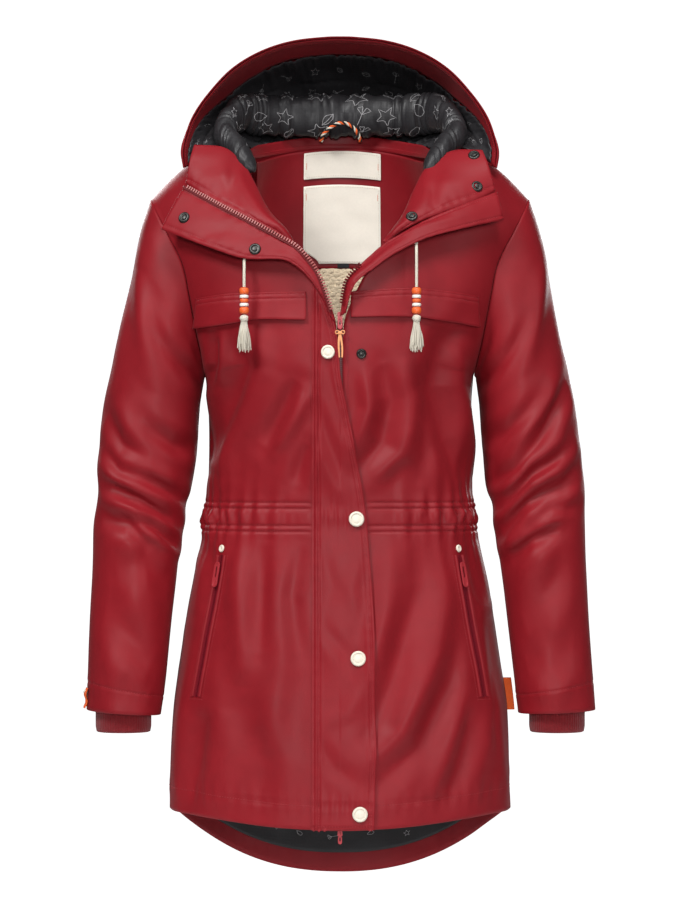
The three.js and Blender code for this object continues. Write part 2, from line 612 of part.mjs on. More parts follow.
function sleeves() {
  const round = steps(SLEEVE_ROUND, 0, 2 * Math.PI);
  const levels = [0, 0.5, 1, 2, 3, 4, 5, 5.6, 6.2, 6.8, 7.4, 8, 9, 10, 11, 12];
  for (const [name, side, rows] of [["sleeve_left", 1, SLEEVE_LEFT], ["sleeve_right", -1, SLEEVE_RIGHT]]) {
    const surface = (a, k) => mirrored(sleevePoint(rows, a, k), side);
    const depth = (a, k) => (k < 0.1 ? EDGE_WALL : WALL);
    add(name, cloth3d(surface, round, levels, depth, -side, true), cloth(RED));
  }
  for (const [name, side, rows] of [["cuff_left", 1, SLEEVE_LEFT], ["cuff_right", -1, SLEEVE_RIGHT]]) {
    const end = rows.at(-1);
    const mid = (end.ix + end.ox) / 2;
    const inside = layer((a, k) => sleevePoint(rows, a, k), -(WALL + SEAM), -1, 1e-3, 1e-3);
    const surface = (a, v) => {
      const z = THREE.MathUtils.lerp(CUFF.bottom, CUFF.waist, Math.min(1, v));
      const low = point(mid - CUFF.half * Math.cos(a), CUFF.y - CUFF.deep * Math.sin(a), z);
      return mirrored(low.lerp(inside(a, CUFF_RING), smooth(v - 1)), side);
    };
    add(name, cloth3d(surface, round, [0, 1, 1.5, 2], RIB_WALL, side, true), cloth(DEEP_RED));
  }
}

// Hood: s runs along the rim from one lower corner to the other, t from the rim to the neck seam.
function hoodPoint(s, t) {
  const side = s > 0.5 ? -1 : 1;
  const half = Math.min(s, 1 - s);
  const rim = sample(HOOD_RIM, "s", half);
  const rise = smooth(half / 0.5);
  const turn = ((half / 0.5) ** 0.8 * Math.PI) / 2;
  const neck = backTop(NECK_SHARE * (1 - (2 * turn) / Math.PI)).add(point(0, 0, HOOD_NECK.seam));
  const above = point(
    HOOD_NECK.x * Math.cos(turn),
    HOOD_NECK.front + (HOOD_NECK.back - HOOD_NECK.front) * Math.sin(turn),
    HOOD_NECK.z + HOOD_NECK.rise * Math.sin(turn),
  );
  const back = 26 + 100 * Math.min(1, 2.2 * rise);
  const away = 24 + 96 * Math.min(1, 2 * rise);
  const behind = back * (0.62 + 0.38 * rise);
  const leave = point(rim.x, rim.y + behind, rim.z - 0.24 * back * (0.3 + 0.7 * rise));
  const reach = point(
    above.x + away * 0.7 * Math.cos(turn),
    above.y + away * (0.06 + 0.68 * Math.sin(turn)),
    above.z + away * (0.05 + 0.3 * rise),
  );
  const from = point(rim.x, rim.y, rim.z);
  const p = point(0, 0, 0);
  p.addScaledVector(from, (1 - t) ** 3);
  p.addScaledVector(leave, 3 * t * (1 - t) ** 2);
  p.addScaledVector(reach, 3 * t * t * (1 - t));
  p.addScaledVector(neck, t ** 3);
  return mirrored(p, side);
}

function hood() {
  const ds = 0.0012;
  const down = steps(8);
  const left = steps(7, 0.004, HOOD_CENTRE - ds);
  const centre = steps(6, HOOD_CENTRE + ds, 1 - HOOD_CENTRE - ds);
  const right = left.map((s) => 1 - s).reverse();
  for (const [name, along] of [["hood_left", left], ["hood_centre", centre], ["hood_right", right]])
    add(name, cloth3d(hoodPoint, along, down, WALL, -1), cloth(RED));
  const inside = layer(hoodPoint, -(WALL + HOOD_GAP), -1, 1e-3, 1e-3);
  const span = [...left.slice(1), ...centre.slice(1, -1), ...right.slice(0, -1)];
  const facing = [0.012, down[1], HOOD_FACING];
  add("hood_facing", cloth3d(inside, span, facing, LINING_WALL, -1), cloth(DEEP_RED));
  const lining = [HOOD_FACING + 0.008, ...down.slice(2, -2)];
  add("hood_lining", cloth3d(inside, span.slice(1, -1), lining, LINING_WALL, -1), cloth(BLACK));
}

// Padded roll round the back of the neck, gathered along its seam
function neckRoll() {
  const centre = (q) => {
    const row = sample(ROLL, "q", Math.min(q, 1 - q));
    return { ...row, x: q > 0.5 ? -row.x : row.x };
  };
  const outer = steps(ROLL_STEPS, 0, 1).map((q, i) => {
    const c = centre(q);
    const a = centre(Math.max(q - 0.01, 0));
    const b = centre(Math.min(q + 0.01, 1));
    const out = point(b.y - a.y, a.x - b.x, 0).normalize();
    const puff = i === 0 || i === ROLL_STEPS ? 0.4 : 1 - ROLL_GATHER * (i % 2);
    return steps(9)
      .slice(0, -1)
      .map((r) => {
        const turn = 2 * Math.PI * r;
        const off = c.thick * puff * Math.cos(turn);
        return point(c.x + out.x * off, c.y + out.y * off, c.z + c.tall * puff * Math.sin(turn));
      });
  });
  add("neck_roll", cappedTube(outer), cloth(BLACK));
}

// A solid tube through rings of points, closed by a point in the middle of each end ring.
function cappedTube(rings) {
  const round = rings[0].length;
  const middle = (ring) => ring.reduce((sum, p) => sum.add(p), point(0, 0, 0)).divideScalar(round);
  const points = [...rings.flat(), middle(rings[0]), middle(rings.at(-1))];
  const faces = [];
  for (let j = 0; j < rings.length - 1; j++)
    for (let i = 0; i < round; i++) {
      const [a, b] = [j * round + i, j * round + ((i + 1) % round)];
      faces.push(a, b, b + round, a, b + round, a + round);
    }
  const last = (rings.length - 1) * round;
  for (let i = 0; i < round; i++) {
    const next = (i + 1) % round;
    faces.push(points.length - 2, next, i);
    faces.push(points.length - 1, last + i, last + next);
  }
  return facingOut(points.flatMap((p) => [p.x, p.y, p.z]), faces);
}

// Lapel panels between two edges of a table, puffed forward a little in the middle.
function lapelPoint(rows, side, puff) {
  return (u, v) => {
    const row = sample(rows, "v", v);
    const lift = puff * Math.sin(Math.PI * Math.min(u, 1)) * Math.min(1, 4 * v);
    return point(
      side * THREE.MathUtils.lerp(row.ax, row.bx, u),
      THREE.MathUtils.lerp(row.ay, row.by, u) - lift,
      THREE.MathUtils.lerp(row.az, row.bz, u) + 0.4 * lift,
    );
  };
}

function collar() {
  const panels = [
    ["collar_right", COLLAR_RIGHT, -1, COLLAR_PUFF, 11],
    ["wind_flap", WIND_FLAP, -1, 2, 14],
    ["collar_left", COLLAR_LEFT, 1, COLLAR_PUFF, 11],
    ["collar_left_edge", LEFT_EDGE, 1, 2, 14],
  ];
  for (const [name, rows, side, puff, count] of panels) {
    const surface = lapelPoint(rows, side, puff);
    add(name, cloth3d(surface, steps(4), steps(count), COLLAR_WALL, side), cloth(RED));
  }
}

// Teeth along the open zip: a flat chain along one edge of the lapels, just in front of it.
function chainAlong(name, rows, side, from, to, off) {
  const line = new THREE.CatmullRomCurve3(
    steps(20, from, to).map((v) => {
      const row = sample(rows, "v", v);
      return point(side * row.ax, row.ay - off, row.az);
    }),
  );
  const square = new THREE.Shape([
    new THREE.Vector2(-1, -TOOTH_HALF),
    new THREE.Vector2(1, -TOOTH_HALF),
    new THREE.Vector2(1, TOOTH_HALF),
    new THREE.Vector2(-1, TOOTH_HALF),
  ]);
  const chain = new THREE.ExtrudeGeometry(square, { steps: 18, extrudePath: line, bevelEnabled: false });
  add(name, chain, cloth(DEEP_RED));
}

// Placket over the zip, its snap buttons and the stud beside it
function placket() {
  const top = PLACKET.at(-1).z;
  const surface = (u, z) => {
    const free = sample(PLACKET, "z", z).free;
    const x = THREE.MathUtils.lerp(PLACKET_SEAM_X, free, u);
    const low = z < -798 ? frontHem(Math.asin(Math.abs(x) / 220)) - 1 : z;
    return overFront(x, low, SEAM + WALL + PLACKET_LIFT * Math.sin((Math.PI / 2) * u));
  };
  const levels = [-803, -775, -700, -650, -600, -550, -505, -475, -440, -405, -360, -315, -280, -250];
  const upper = [-230, -212, -198, -184, top];
  add("placket", cloth3d(surface, steps(3), [...levels, ...upper], WALL, 1), cloth(RED));
  for (const { name, x, z, radius, seat } of BUTTONS) disc(name, x, z, radius, BUTTON_T, seat, cloth(CREAM));
  disc("snap_stud", SNAP_STUD.x, SNAP_STUD.z, SNAP_STUD.radius, SNAP_STUD.thick, SEAM, metal(GUNMETAL));
}

// A round snap cap on the front, off it by a small gap, with a low dome.
function disc(name, x, z, radius, thick, off, material) {
  add(name, capGeometry(radius, thick).applyMatrix4(seatOn(overFront(x, z, off), frontNormal(x, z))), material);
}

function capGeometry(radius, thick) {
  const outline = [
    [0, 0],
    [radius, 0],
    [radius, 0.55 * thick],
    [radius * 0.72, thick],
    [0, 0.86 * thick],
  ];
  return new THREE.LatheGeometry(outline.map(([r, y]) => new THREE.Vector2(r, y)), 12);
}

function seatOn(place, normal) {
  const turn = new THREE.Quaternion().setFromUnitVectors(point(0, 1, 0), normal);
  return new THREE.Matrix4().compose(place, turn, point(1, 1, 1));
}

// Dark snaps on the lapels
function lapelSnap(name, rows, side, puff, u, v) {
  const surface = lapelPoint(rows, side, puff);
  const normal = normalAt(surface, u, v, 0.01, 0.01).multiplyScalar(side);
  const place = surface(u, v).addScaledVector(normal, SEAM);
  add(name, capGeometry(SNAP_R, 2.6).applyMatrix4(seatOn(place, normal)), metal(GUNMETAL));
}

// Zip between the fronts, its slider and pull with a tied ribbon, and the lower slider and pull
function zip() {
  const levels = steps(16, ZIP_BOTTOM, ZIP_TOP);
  const surface = (x, z) => point(x, lowerBody(0, z).y + 0.2, z);
  add("zip_chain", cloth3d(surface, [-ZIP_HALF, 0, ZIP_HALF], levels, WALL, 1), cloth(DEEP_RED));
  const sliderY = -132;
  boxAt("zip_slider", 0, sliderY + 3.2, ZIP_TOP + 6.6, 6.4, 6, 12, metal(DEEP_RED));
  const pull = zipPull(6, 14, PULL_THICK);
  pull.translate(0, sliderY - 1.6, ZIP_TOP + 6);
  add("zip_pull", pull, metal(DEEP_RED));
  const lowY = lowerBody(0, ZIP_BOTTOM).y + 1.2;
  boxAt("zip_slider_low", 0, lowY, ZIP_BOTTOM - SEAM - 4, 6, 4, 8, metal(DEEP_RED));
  const lowPull = zipPull(5, 9, PULL_THICK);
  lowPull.translate(0, lowY, ZIP_BOTTOM - 2 * SEAM - 8.45);
  add("zip_pull_low", lowPull, metal(DEEP_RED));
  const ribbon = ribbonKnot();
  ribbon.translate(0, sliderY - 1.7, ZIP_TOP - 12);
  add("zip_ribbon", ribbon, cloth(0xf0a878));
}

function boxAt(name, x, y, z, wide, deep, tall, material) {
  const geometry = new THREE.BoxGeometry(wide, deep, tall, 1, 1, 1);
  geometry.translate(x, y, z);
  add(name, geometry, material);
}

// A flat pull that hangs from its top end at the origin.
function zipPull(wide, long, thick) {
  const outline = new THREE.Shape();
  const half = wide / 2;
  outline.moveTo(-half * 0.6, 0);
  outline.lineTo(half * 0.6, 0);
  outline.lineTo(half, -long + half);
  outline.absarc(0, -long + half, half, 0, -Math.PI, true);
  const geometry = new THREE.ExtrudeGeometry(outline, { depth: thick, bevelEnabled: false, curveSegments: 5 });
  geometry.translate(0, 0, -thick / 2);
  return geometry.rotateX(Math.PI / 2);
}

function ribbonKnot() {
  const knot = new THREE.SphereGeometry(3.4, 8, 6);
  const tails = [-1, 1].map((side) => {
    const tail = new THREE.BoxGeometry(5.5, 1.4, 30);
    tail.translate(0, 0, -15);
    return tail.rotateY(side * -0.12);
  });
  return joined([knot, ...tails]);
}

// Chest flaps, sewn along the top and lifting a little at the lower edge
function chestFlaps() {
  for (const [name, rows] of [["chest_flap_right", FLAP_RIGHT], ["chest_flap_left", FLAP_LEFT]]) {
    const surface = (u, v) => {
      const row = sample(rows, "u", u);
      const z = THREE.MathUtils.lerp(row.low, row.top, v);
      return overFront(row.x, z, SEAM + 1.6 + FLAP_LIFT * (1 - v) ** 1.5);
    };
    add(name, cloth3d(surface, steps(10), steps(3), 1.6, Math.sign(rows[0].x)), cloth(RED));
  }
}

// Slanted zipped hand pockets with a hanging pull and a rivet above
function pockets() {
  for (const [name, side] of [["left", 1], ["right", -1]]) {
    const surface = (u, v) => {
      const x = THREE.MathUtils.lerp(POCKET.bottomX, POCKET.topX, v) + POCKET.wide * (u - 0.5);
      const z = THREE.MathUtils.lerp(POCKET.bottomZ, POCKET.topZ, v);
      return overFront(side * x, z, SEAM + POCKET.wall);
    };
    add("pocket_" + name, cloth3d(surface, steps(2), steps(12), POCKET.wall, side), cloth(DEEP_RED));
    const pull = zipPull(POCKET_PULL.wide, POCKET_PULL.long, PULL_THICK);
    add("pocket_pull_" + name, pull.applyMatrix4(pullSeat(side)), metal(RED));
    disc("rivet_" + name, side * POCKET.topX, POCKET.topZ + 7.6, RIVET_R, 1.8, SEAM + 0.2, cloth(CREAM));
  }
}

// Place of a pocket's pull: it hangs down the pocket, its back to the cloth.
function pullSeat(side) {
  const off = SEAM + POCKET.wall + 0.6 + PULL_THICK / 2;
  const x = side * (POCKET.topX + 2.5);
  const seat = overFront(x, POCKET_PULL.z, off);
  const tip = overFront(x + side * 4, POCKET_PULL.z - POCKET_PULL.long, off + 1.4);
  const up = seat.clone().sub(tip).normalize();
  const across = up.clone().cross(frontNormal(x, POCKET_PULL.z)).normalize();
  const back = up.clone().cross(across);
  return new THREE.Matrix4().makeBasis(across, back, up).setPosition(seat);
}

// Drawcords: the cord from under the lapel, beads strung on it, a knot and a tassel
function drawcords() {
  for (const cord of CORDS) {
    const path = new THREE.CatmullRomCurve3([
      point(cord.x, cord.y + cord.tuck, cord.top + 6),
      point(cord.x, cord.y + 0.8 * cord.tuck, cord.top),
      point(cord.x, cord.y + 3, cord.top - 8),
      point(cord.x, cord.y + 0.6, cord.top - 16),
      point(cord.x, cord.y, cord.beads + 0.3),
    ]);
    const section = new THREE.Shape();
    section.absarc(0, 0, CORD_R, 0, 2 * Math.PI, false);
    const options = { steps: 10, extrudePath: path, curveSegments: 4, bevelEnabled: false };
    add("cord_" + cord.side, new THREE.ExtrudeGeometry(section, options), cloth(CREAM));
    add("beads_" + cord.side, beads(cord), cloth(ORANGE));
    add("tassel_" + cord.side, tassel(cord), cloth(CREAM));
  }
}

function beads(cord) {
  const heights = [8.4, 4.6, 5, 4.6, 8.4];
  const outline = [new THREE.Vector2(0, 0)];
  let at = 0;
  for (const tall of heights) {
    const radius = tall > 6 ? BEAD_R : BEAD_R * 0.92;
    for (const [share, size] of [[0.04, 0.6], [0.3, 1], [0.7, 1], [0.96, 0.6]])
      outline.push(new THREE.Vector2(radius * size, at + share * tall));
    at += tall;
  }
  outline.push(new THREE.Vector2(0, at));
  const strung = new THREE.LatheGeometry(outline, 8);
  return strung.rotateX(Math.PI / 2).translate(cord.x, cord.y, cord.beads - at);
}

function tassel(cord) {
  const top = cord.beads - 31 - SEAM;
  const head = new THREE.SphereGeometry(TASSEL.head, 8, 6).scale(1, 1, 0.9);
  head.translate(cord.x, cord.y, top - TASSEL.head * 0.92);
  const strands = steps(TASSEL.strands - 1).map((share, k) => {
    const turn = k * 2.4;
    const radius = Math.sqrt((k + 0.5) / TASSEL.strands);
    const strand = new THREE.CylinderGeometry(0.75, 0.95, TASSEL.long + 3 * Math.sin(5 * share), 3);
    strand.rotateX(Math.PI / 2);
    strand.translate(0, 0, -TASSEL.long / 2);
    const lean = TASSEL.lean * radius;
    strand.rotateY(-lean * Math.cos(turn)).rotateX(lean * Math.sin(turn) * 0.7);
    return strand.translate(cord.x, cord.y, top - TASSEL.head * 0.9);
  });
  return joined([head, ...strands]);
}

// Back neck inside: facing, fleece and labels, and the lining that shows above the back hem
function backInside() {
  const rowOf = (z) => {
    let row = -30;
    for (let k = 0; k < 20; k++) row += 0.8 * (z - backPoint(Math.PI, row).z);
    return row;
  };
  const inner = (off) => layer(backPoint, -off, 1, 1e-3, 0.1);
  const acrossBack = (x, row) =>
    solve(Math.abs(x), 0, Math.PI / 2, (away) => backPoint(Math.PI - away, row).x) * Math.sign(x);
  const inside = (off) => layer((x, row) => backPoint(Math.PI - acrossBack(x, row), row), -off, -1, 0.5, 0.5);
  const gap = WALL + 0.6;
  const high = rowOf(9);
  const facingLow = rowOf(FACING.low);
  const columns = (span) => BACK_COLUMNS.filter((angle) => Math.abs(Math.PI - angle) < span * DEG);
  const rows = (low, top) => [low, ...ROWS.filter((row) => row > low + 3 && row < top - 3), top];
  const facingRows = rows(facingLow + 1.2, high);
  const fromBack = (angle) => Math.abs(Math.PI - angle) / (FACING.span * DEG);
  const eased = (angle, row) => inner(gap + 0.5 + 5 * fromBack(angle) ** 2.5)(angle, row);
  add("back_facing", cloth3d(eased, columns(FACING.span), facingRows, LINING_WALL, 1), cloth(RED));
  const fleeceRows = rows(rowOf(FLEECE.low), facingLow - 1);
  add("back_fleece", cloth3d(inner(gap), columns(FLEECE.span), fleeceRows, 2.6, 1), cloth(0xd8c6a4));
  const off = gap + LINING_WALL + 2.6;
  for (const label of LABELS) {
    const surface = (x, row) => {
      const low = label.cut ? smooth((row - rowOf(label.low)) / label.cut) : 1;
      const mid = (label.left + label.right) / 2;
      const pinch = 1 - (label.cut ? 0.4 * (1 - low) : 0);
      return inside(off)(mid + (x - mid) * pinch, row);
    };
    const levels = steps(label.cut ? 6 : 2, rowOf(label.low), rowOf(label.top));
    add(label.name, cloth3d(surface, steps(4, label.left, label.right), levels, 0.8, -1), cloth(CREAM));
  }
  const band = (angle, v) => {
    const z = THREE.MathUtils.lerp(backHem(angle) + LINING_LOW.gap, LINING_LOW.top, v);
    return lowerBody(angle, z);
  };
  const lining = layer(band, -(WALL + 1.1), 1, 1e-3, 1e-3);
  const span = BACK_COLUMNS.filter((angle, k) => k % 2 === 0 && k > 0 && k < BACK_COLUMNS.length - 1);
  add("back_lining", cloth3d(lining, span, steps(3), LINING_WALL, 1), cloth(BLACK));
  hangerLoop();
}

function hangerLoop() {
  const path = new THREE.CatmullRomCurve3([
    point(-23, 73, 16.8),
    point(-20, 67.4, 25),
    point(-9, 63.4, 34.5),
    point(2, 62.8, 38.5),
    point(14, 63.4, 34.5),
    point(22, 67.2, 25),
    point(25, 73, 16.8),
  ]);
  const section = new THREE.Shape();
  section.absarc(0, 0, 2.3, 0, 2 * Math.PI, false);
  const options = { steps: 14, extrudePath: path, curveSegments: 4, bevelEnabled: false };
  add("hanger_loop", new THREE.ExtrudeGeometry(section, options), cloth(ORANGE));
}

// Small folded tags in the side seam and at the right cuff
function tags() {
  const side = (u, z) => point(lowerBody(Math.PI / 2, z).x + SEAM + 9 * u, -1, z);
  add("tag_side", cloth3d(side, [0, 1], steps(4, -671, -633), 2, 1), cloth(ORANGE));
  const cuff = layer((a, k) => sleevePoint(SLEEVE_RIGHT, a, k), SEAM + 4.5, -1, 1e-3, 1e-3);
  const loop = (a, k) => mirrored(cuff(a, k), -1);
  const around = steps(2, Math.PI - 0.14, Math.PI + 0.14);
  add("tag_cuff", cloth3d(loop, around, steps(3, 11.62, 11.97), 4.5, 1), cloth(ORANGE));
}

bodyPanels();
sleeves();
hood();
neckRoll();
collar();
chainAlong("zip_teeth_right", WIND_FLAP, -1, 0.05, 1, 3);
chainAlong("zip_teeth_left", LEFT_EDGE, 1, 0.05, 0.4, 4.2);
placket();
zip();
lapelSnap("snap_right_outer", WIND_FLAP, -1, 2, 0.62, 0.94);
lapelSnap("snap_right_inner", WIND_FLAP, -1, 2, 0.66, 0.56);
lapelSnap("snap_left_outer", COLLAR_LEFT, 1, COLLAR_PUFF, 0.8, 0.9);
lapelSnap("snap_left_inner", COLLAR_LEFT, 1, COLLAR_PUFF, 0.62, 0.4);
lapelSnap("snap_left_corner", COLLAR_LEFT, 1, COLLAR_PUFF, 0.16, 0.95);
chestFlaps();
pockets();
drawcords();
backInside();
tags();

export default coat;
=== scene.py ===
"""Looks of a hooded raincoat in red coated cloth, built round its packed frame.

Sizes in the tables are millimetres in the coat's own frame, and meshes are made in metres.
The coat faces -Y, +Z is up, and the wearer's left is +X.
"""

import math

import bmesh
import bpy
import numpy as np
from bpy.props import FloatProperty, FloatVectorProperty, IntProperty, PointerProperty
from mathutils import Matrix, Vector


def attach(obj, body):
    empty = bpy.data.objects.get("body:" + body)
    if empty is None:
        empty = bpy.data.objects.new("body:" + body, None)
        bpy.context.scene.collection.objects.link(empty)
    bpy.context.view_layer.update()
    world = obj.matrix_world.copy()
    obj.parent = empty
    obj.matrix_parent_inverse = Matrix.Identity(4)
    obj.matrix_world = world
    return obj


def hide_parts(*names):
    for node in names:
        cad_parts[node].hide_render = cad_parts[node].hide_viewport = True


bl_info = {
    "name": "Hooded raincoat",
    "version": (1, 0, 0),
    "blender": (4, 5, 0),
    "location": "View3D > Sidebar > Raincoat",
    "description": "Cloth, sewing, zips, snaps and cords of a hooded raincoat",
    "category": "Object",
}

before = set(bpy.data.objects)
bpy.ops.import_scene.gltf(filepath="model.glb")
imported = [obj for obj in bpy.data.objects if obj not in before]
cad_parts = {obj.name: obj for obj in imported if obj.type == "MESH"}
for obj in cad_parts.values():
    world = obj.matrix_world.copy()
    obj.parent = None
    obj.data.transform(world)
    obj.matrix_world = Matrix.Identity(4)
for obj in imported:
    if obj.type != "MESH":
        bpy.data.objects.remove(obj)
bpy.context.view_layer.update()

COAT = "coat"
DEG = math.pi / 180
MM = 0.001


# Sizes of the coat.


def table(names, *rows):
    return {name: np.array([row[k] for row in rows], float) for k, name in enumerate(names.split())}


BODY_POWER = 2 / 2.3
BODY = table(
    "z half front back",
    (-910, 206, 144, 147),
    (-787, 204, 141, 142),
    (-700, 201, 137, 137),
    (-655, 198, 134, 133),
    (-590, 189, 130, 126),
    (-540, 181, 124, 118),
    (-490, 170, 117, 108),
    (-440, 160, 112, 100),
    (-400, 158, 114, 101),
    (-350, 157, 120, 107),
    (-300, 158, 125, 112),
    (-271, 160, 127, 114),
)
ARMPIT, HEM, HEM_BAND = -271, -787, -700
FRONT_HEM_DROP, BACK_HEM_DROP, FRONT_EDGE_X = 14, 95, 4
SHOULDER, ARMHOLE_DEPTH = -60, 62
ARMHOLE = table(
    "z x", (-271, 160), (-255, 163), (-222, 170), (-178, 178), (-138, 187), (-99, 207), (-72, 221), (-60, 226)
)
FRONT_EDGE = table(
    "t x y z",
    (0, 4, -127, -271),
    (0.13, 4, -127, -238),
    (0.26, 8, -125, -202),
    (0.42, 34, -121, -147),
    (0.54, 52, -113, -119),
    (0.7, 85, -88, -79),
    (0.85, 103, -57, -41),
    (1, 110, -14, -5),
)
SHOULDER_ROLL, SHOULDER_CROWN = 0.72, 22
NECK_BACK_Y, NECK_BACK_Z, NECK_SHARE = 98, 15, 0.481
WAIST_Z = -439
FOLDS = table(
    "round z tall wide lean high",
    (24, -610, 120, 7, 0.03, 4),
    (44, -640, 140, 8, -0.04, 4.5),
    (66, -690, 110, 8, -0.03, 5),
    (58, -360, 55, 8, 0.06, 4),
    (112, -660, 140, 9, 0.03, 5),
    (138, -620, 130, 8, -0.03, 5),
    (160, -690, 130, 8, 0.02, 4.5),
    (130, -350, 60, 9, -0.05, 4),
)
SLEEVE_NAMES = "k ix iz ox oz deep y"
SLEEVE_LEFT = table(
    SLEEVE_NAMES,
    (0, 160, -271, 226, -60, 62, 0),
    (1, 163, -278, 241, -104, 66, -1),
    (2, 167, -302, 251, -145, 66, -3),
    (3, 169, -332, 258, -190, 65, -5),
    (4, 171, -364, 268, -247, 63, -7),
    (5, 174, -395, 277, -290, 61, -9),
    (6, 182, -421, 284, -330, 59, -11),
    (7, 184, -449, 287, -368, 57, -14),
    (8, 189, -478, 291, -409, 56, -17),
    (9, 193, -506, 291, -452, 54, -20),
    (10, 200, -565, 296, -528, 51, -26),
    (11, 207, -626, 300, -600, 47, -32),
    (12, 212, -672, 304, -668, 43, -37),
)
SLEEVE_RIGHT = table(
    SLEEVE_NAMES,
    (0, 160, -271, 226, -60, 62, 0),
    (1, 163, -278, 240, -104, 66, -1),
    (2, 167, -302, 249, -145, 66, -3),
    (3, 169, -332, 258, -190, 65, -5),
    (4, 172, -364, 270, -247, 63, -7),
    (5, 176, -395, 281, -300, 61, -9),
    (6, 185, -421, 287, -346, 59, -11),
    (7, 188, -449, 290, -383, 57, -14),
    (8, 191, -478, 288, -412, 56, -17),
    (9, 195, -510, 293, -452, 54, -20),
    (10, 202, -572, 296, -528, 51, -26),
    (11, 208, -628, 300, -600, 47, -32),
    (12, 213, -674, 302, -668, 43, -37),
)
ELBOW = table("k round wide high", (5.6, 60, 70, 4.5), (6.8, 95, 75, 5), (8, 70, 70, 4.5), (9, 110, 60, 3.5))
CUFF_HALF, CUFF_DEEP, CUFF_BOTTOM, CUFF_WAIST, CUFF_Y, CUFF_RING = 33, 30, -694, -672, -38, 11.75
HEM_RING = 11.52
PULL_SEATS = {"left": (144.045, -77.034, -492.358), "right": (-144.045, -77.034, -492.358)}
PULL_THICK = 1.8
HOOD_RIM = table(
    "s x y z",
    (0, 186, -46, -26),
    (0.039, 188, -42, -6),
    (0.071, 185, -37, 12),
    (0.12, 176, -29, 38),
    (0.18, 158, -19, 66),
    (0.254, 130, -9, 97),
    (0.329, 95, -2, 119),
    (0.403, 55, 2, 132),
    (0.5, 0, 4, 138),
)
HOOD_NECK_X, HOOD_NECK_FRONT, HOOD_NECK_BACK, HOOD_NECK_Z, HOOD_NECK_RISE = 114, -16, 101, 9, 12
HOOD_CENTRE, HOOD_FACING = 0.36, 0.135
HOOD_AROUND, HOOD_DOWN, LINING_DOWN = 900, 240, 250
# Millimetres of sleeve to a degree round it and to a ring along it.
ROUND_STEP, RING_STEP = 0.92, 40
ROLL = table(
    "q x y z tall thick",
    (0, 101, -56, -28, 10, 8),
    (0.05, 113, -44, -13, 15, 12),
    (0.1, 124, -31, 1, 17, 12),
    (0.18, 138, -10, 19, 19, 14),
    (0.28, 123, 31, 46, 23, 14),
    (0.38, 79, 66, 47, 27, 14),
    (0.5, 0, 80, 48, 28, 14),
)
LAPEL_NAMES = "v ax ay az bx by bz"
COLLAR_RIGHT = table(
    LAPEL_NAMES,
    (0, 50, -115.2, -122, 54, -120.2, -122),
    (0.2, 63, -113, -101, 72, -122, -108),
    (0.4, 84, -95, -77, 96, -115, -95),
    (0.55, 102, -66, -41, 121, -104, -81),
    (0.7, 115, -53, -20, 146, -92, -69),
    (0.85, 137, -47, -1, 165, -80, -57),
    (1, 172, -52, 2, 182, -68, -45),
)
COLLAR_LEFT = table(
    LAPEL_NAMES,
    (0, 50, -115.5, -116, 54, -118.5, -118),
    (0.2, 59, -112, -104, 70, -120, -106),
    (0.4, 74, -97, -82, 90, -115, -94),
    (0.55, 87, -74, -52, 112, -108, -84),
    (0.7, 103, -54, -24, 134, -99, -75),
    (0.85, 132, -47, -5, 157, -88, -67),
    (1, 168, -52, -4, 183, -72, -54),
)
WIND_FLAP = table(
    LAPEL_NAMES,
    (0, 7, -136, -210, 11, -137, -203),
    (0.1, 13, -137, -188, 19, -139, -184),
    (0.2, 23, -137, -160, 36, -141, -160),
    (0.3, 36, -135, -139, 52, -140, -145),
    (0.4, 51, -131, -123, 69, -139, -138),
    (0.55, 73, -125, -110, 109, -132, -137),
    (0.7, 98, -117, -96, 139, -123, -128),
    (0.85, 135, -99, -76, 171, -107, -115),
    (1, 184, -70, -48, 211, -80, -99),
)
LEFT_EDGE = table(
    LAPEL_NAMES,
    (0, 1, -134, -203, 5, -137, -200),
    (0.12, 4, -134, -178, 10, -139, -182),
    (0.25, 9, -131, -161, 18, -141, -165),
    (0.38, 24, -129, -144, 36, -141, -150),
    (0.5, 51, -125, -120, 58, -139, -134),
    (0.62, 71, -123, -108, 88, -133, -118),
    (0.75, 99, -114, -92, 113, -126, -108),
    (0.88, 140, -99, -74, 151, -109, -98),
    (1, 185, -74, -56, 193, -84, -88),
)
PLACKET_SEAM_X = -32
PLACKET = table(
    "z free",
    (-803, 39),
    (-697, 41),
    (-559, 38),
    (-488, 34),
    (-424, 28),
    (-354, 16),
    (-313, 8),
    (-271, 0),
    (-238, -2),
    (-212, -7),
    (-190, -15),
    (-170, -26),
)
FLAP_RIGHT = table(
    "u x top low",
    (0, -40, -176, -208),
    (0.45, -98, -177, -207),
    (0.7, -132, -178, -212),
    (1, -169, -182, -215),
)
FLAP_LEFT = table(
    "u x top low",
    (0, 13, -176, -205),
    (0.45, 82, -172, -204),
    (0.75, 126, -175, -209),
    (1, 162, -180, -214),
)
POCKET_TOP, POCKET_LOW = (139, -484), (169, -650)

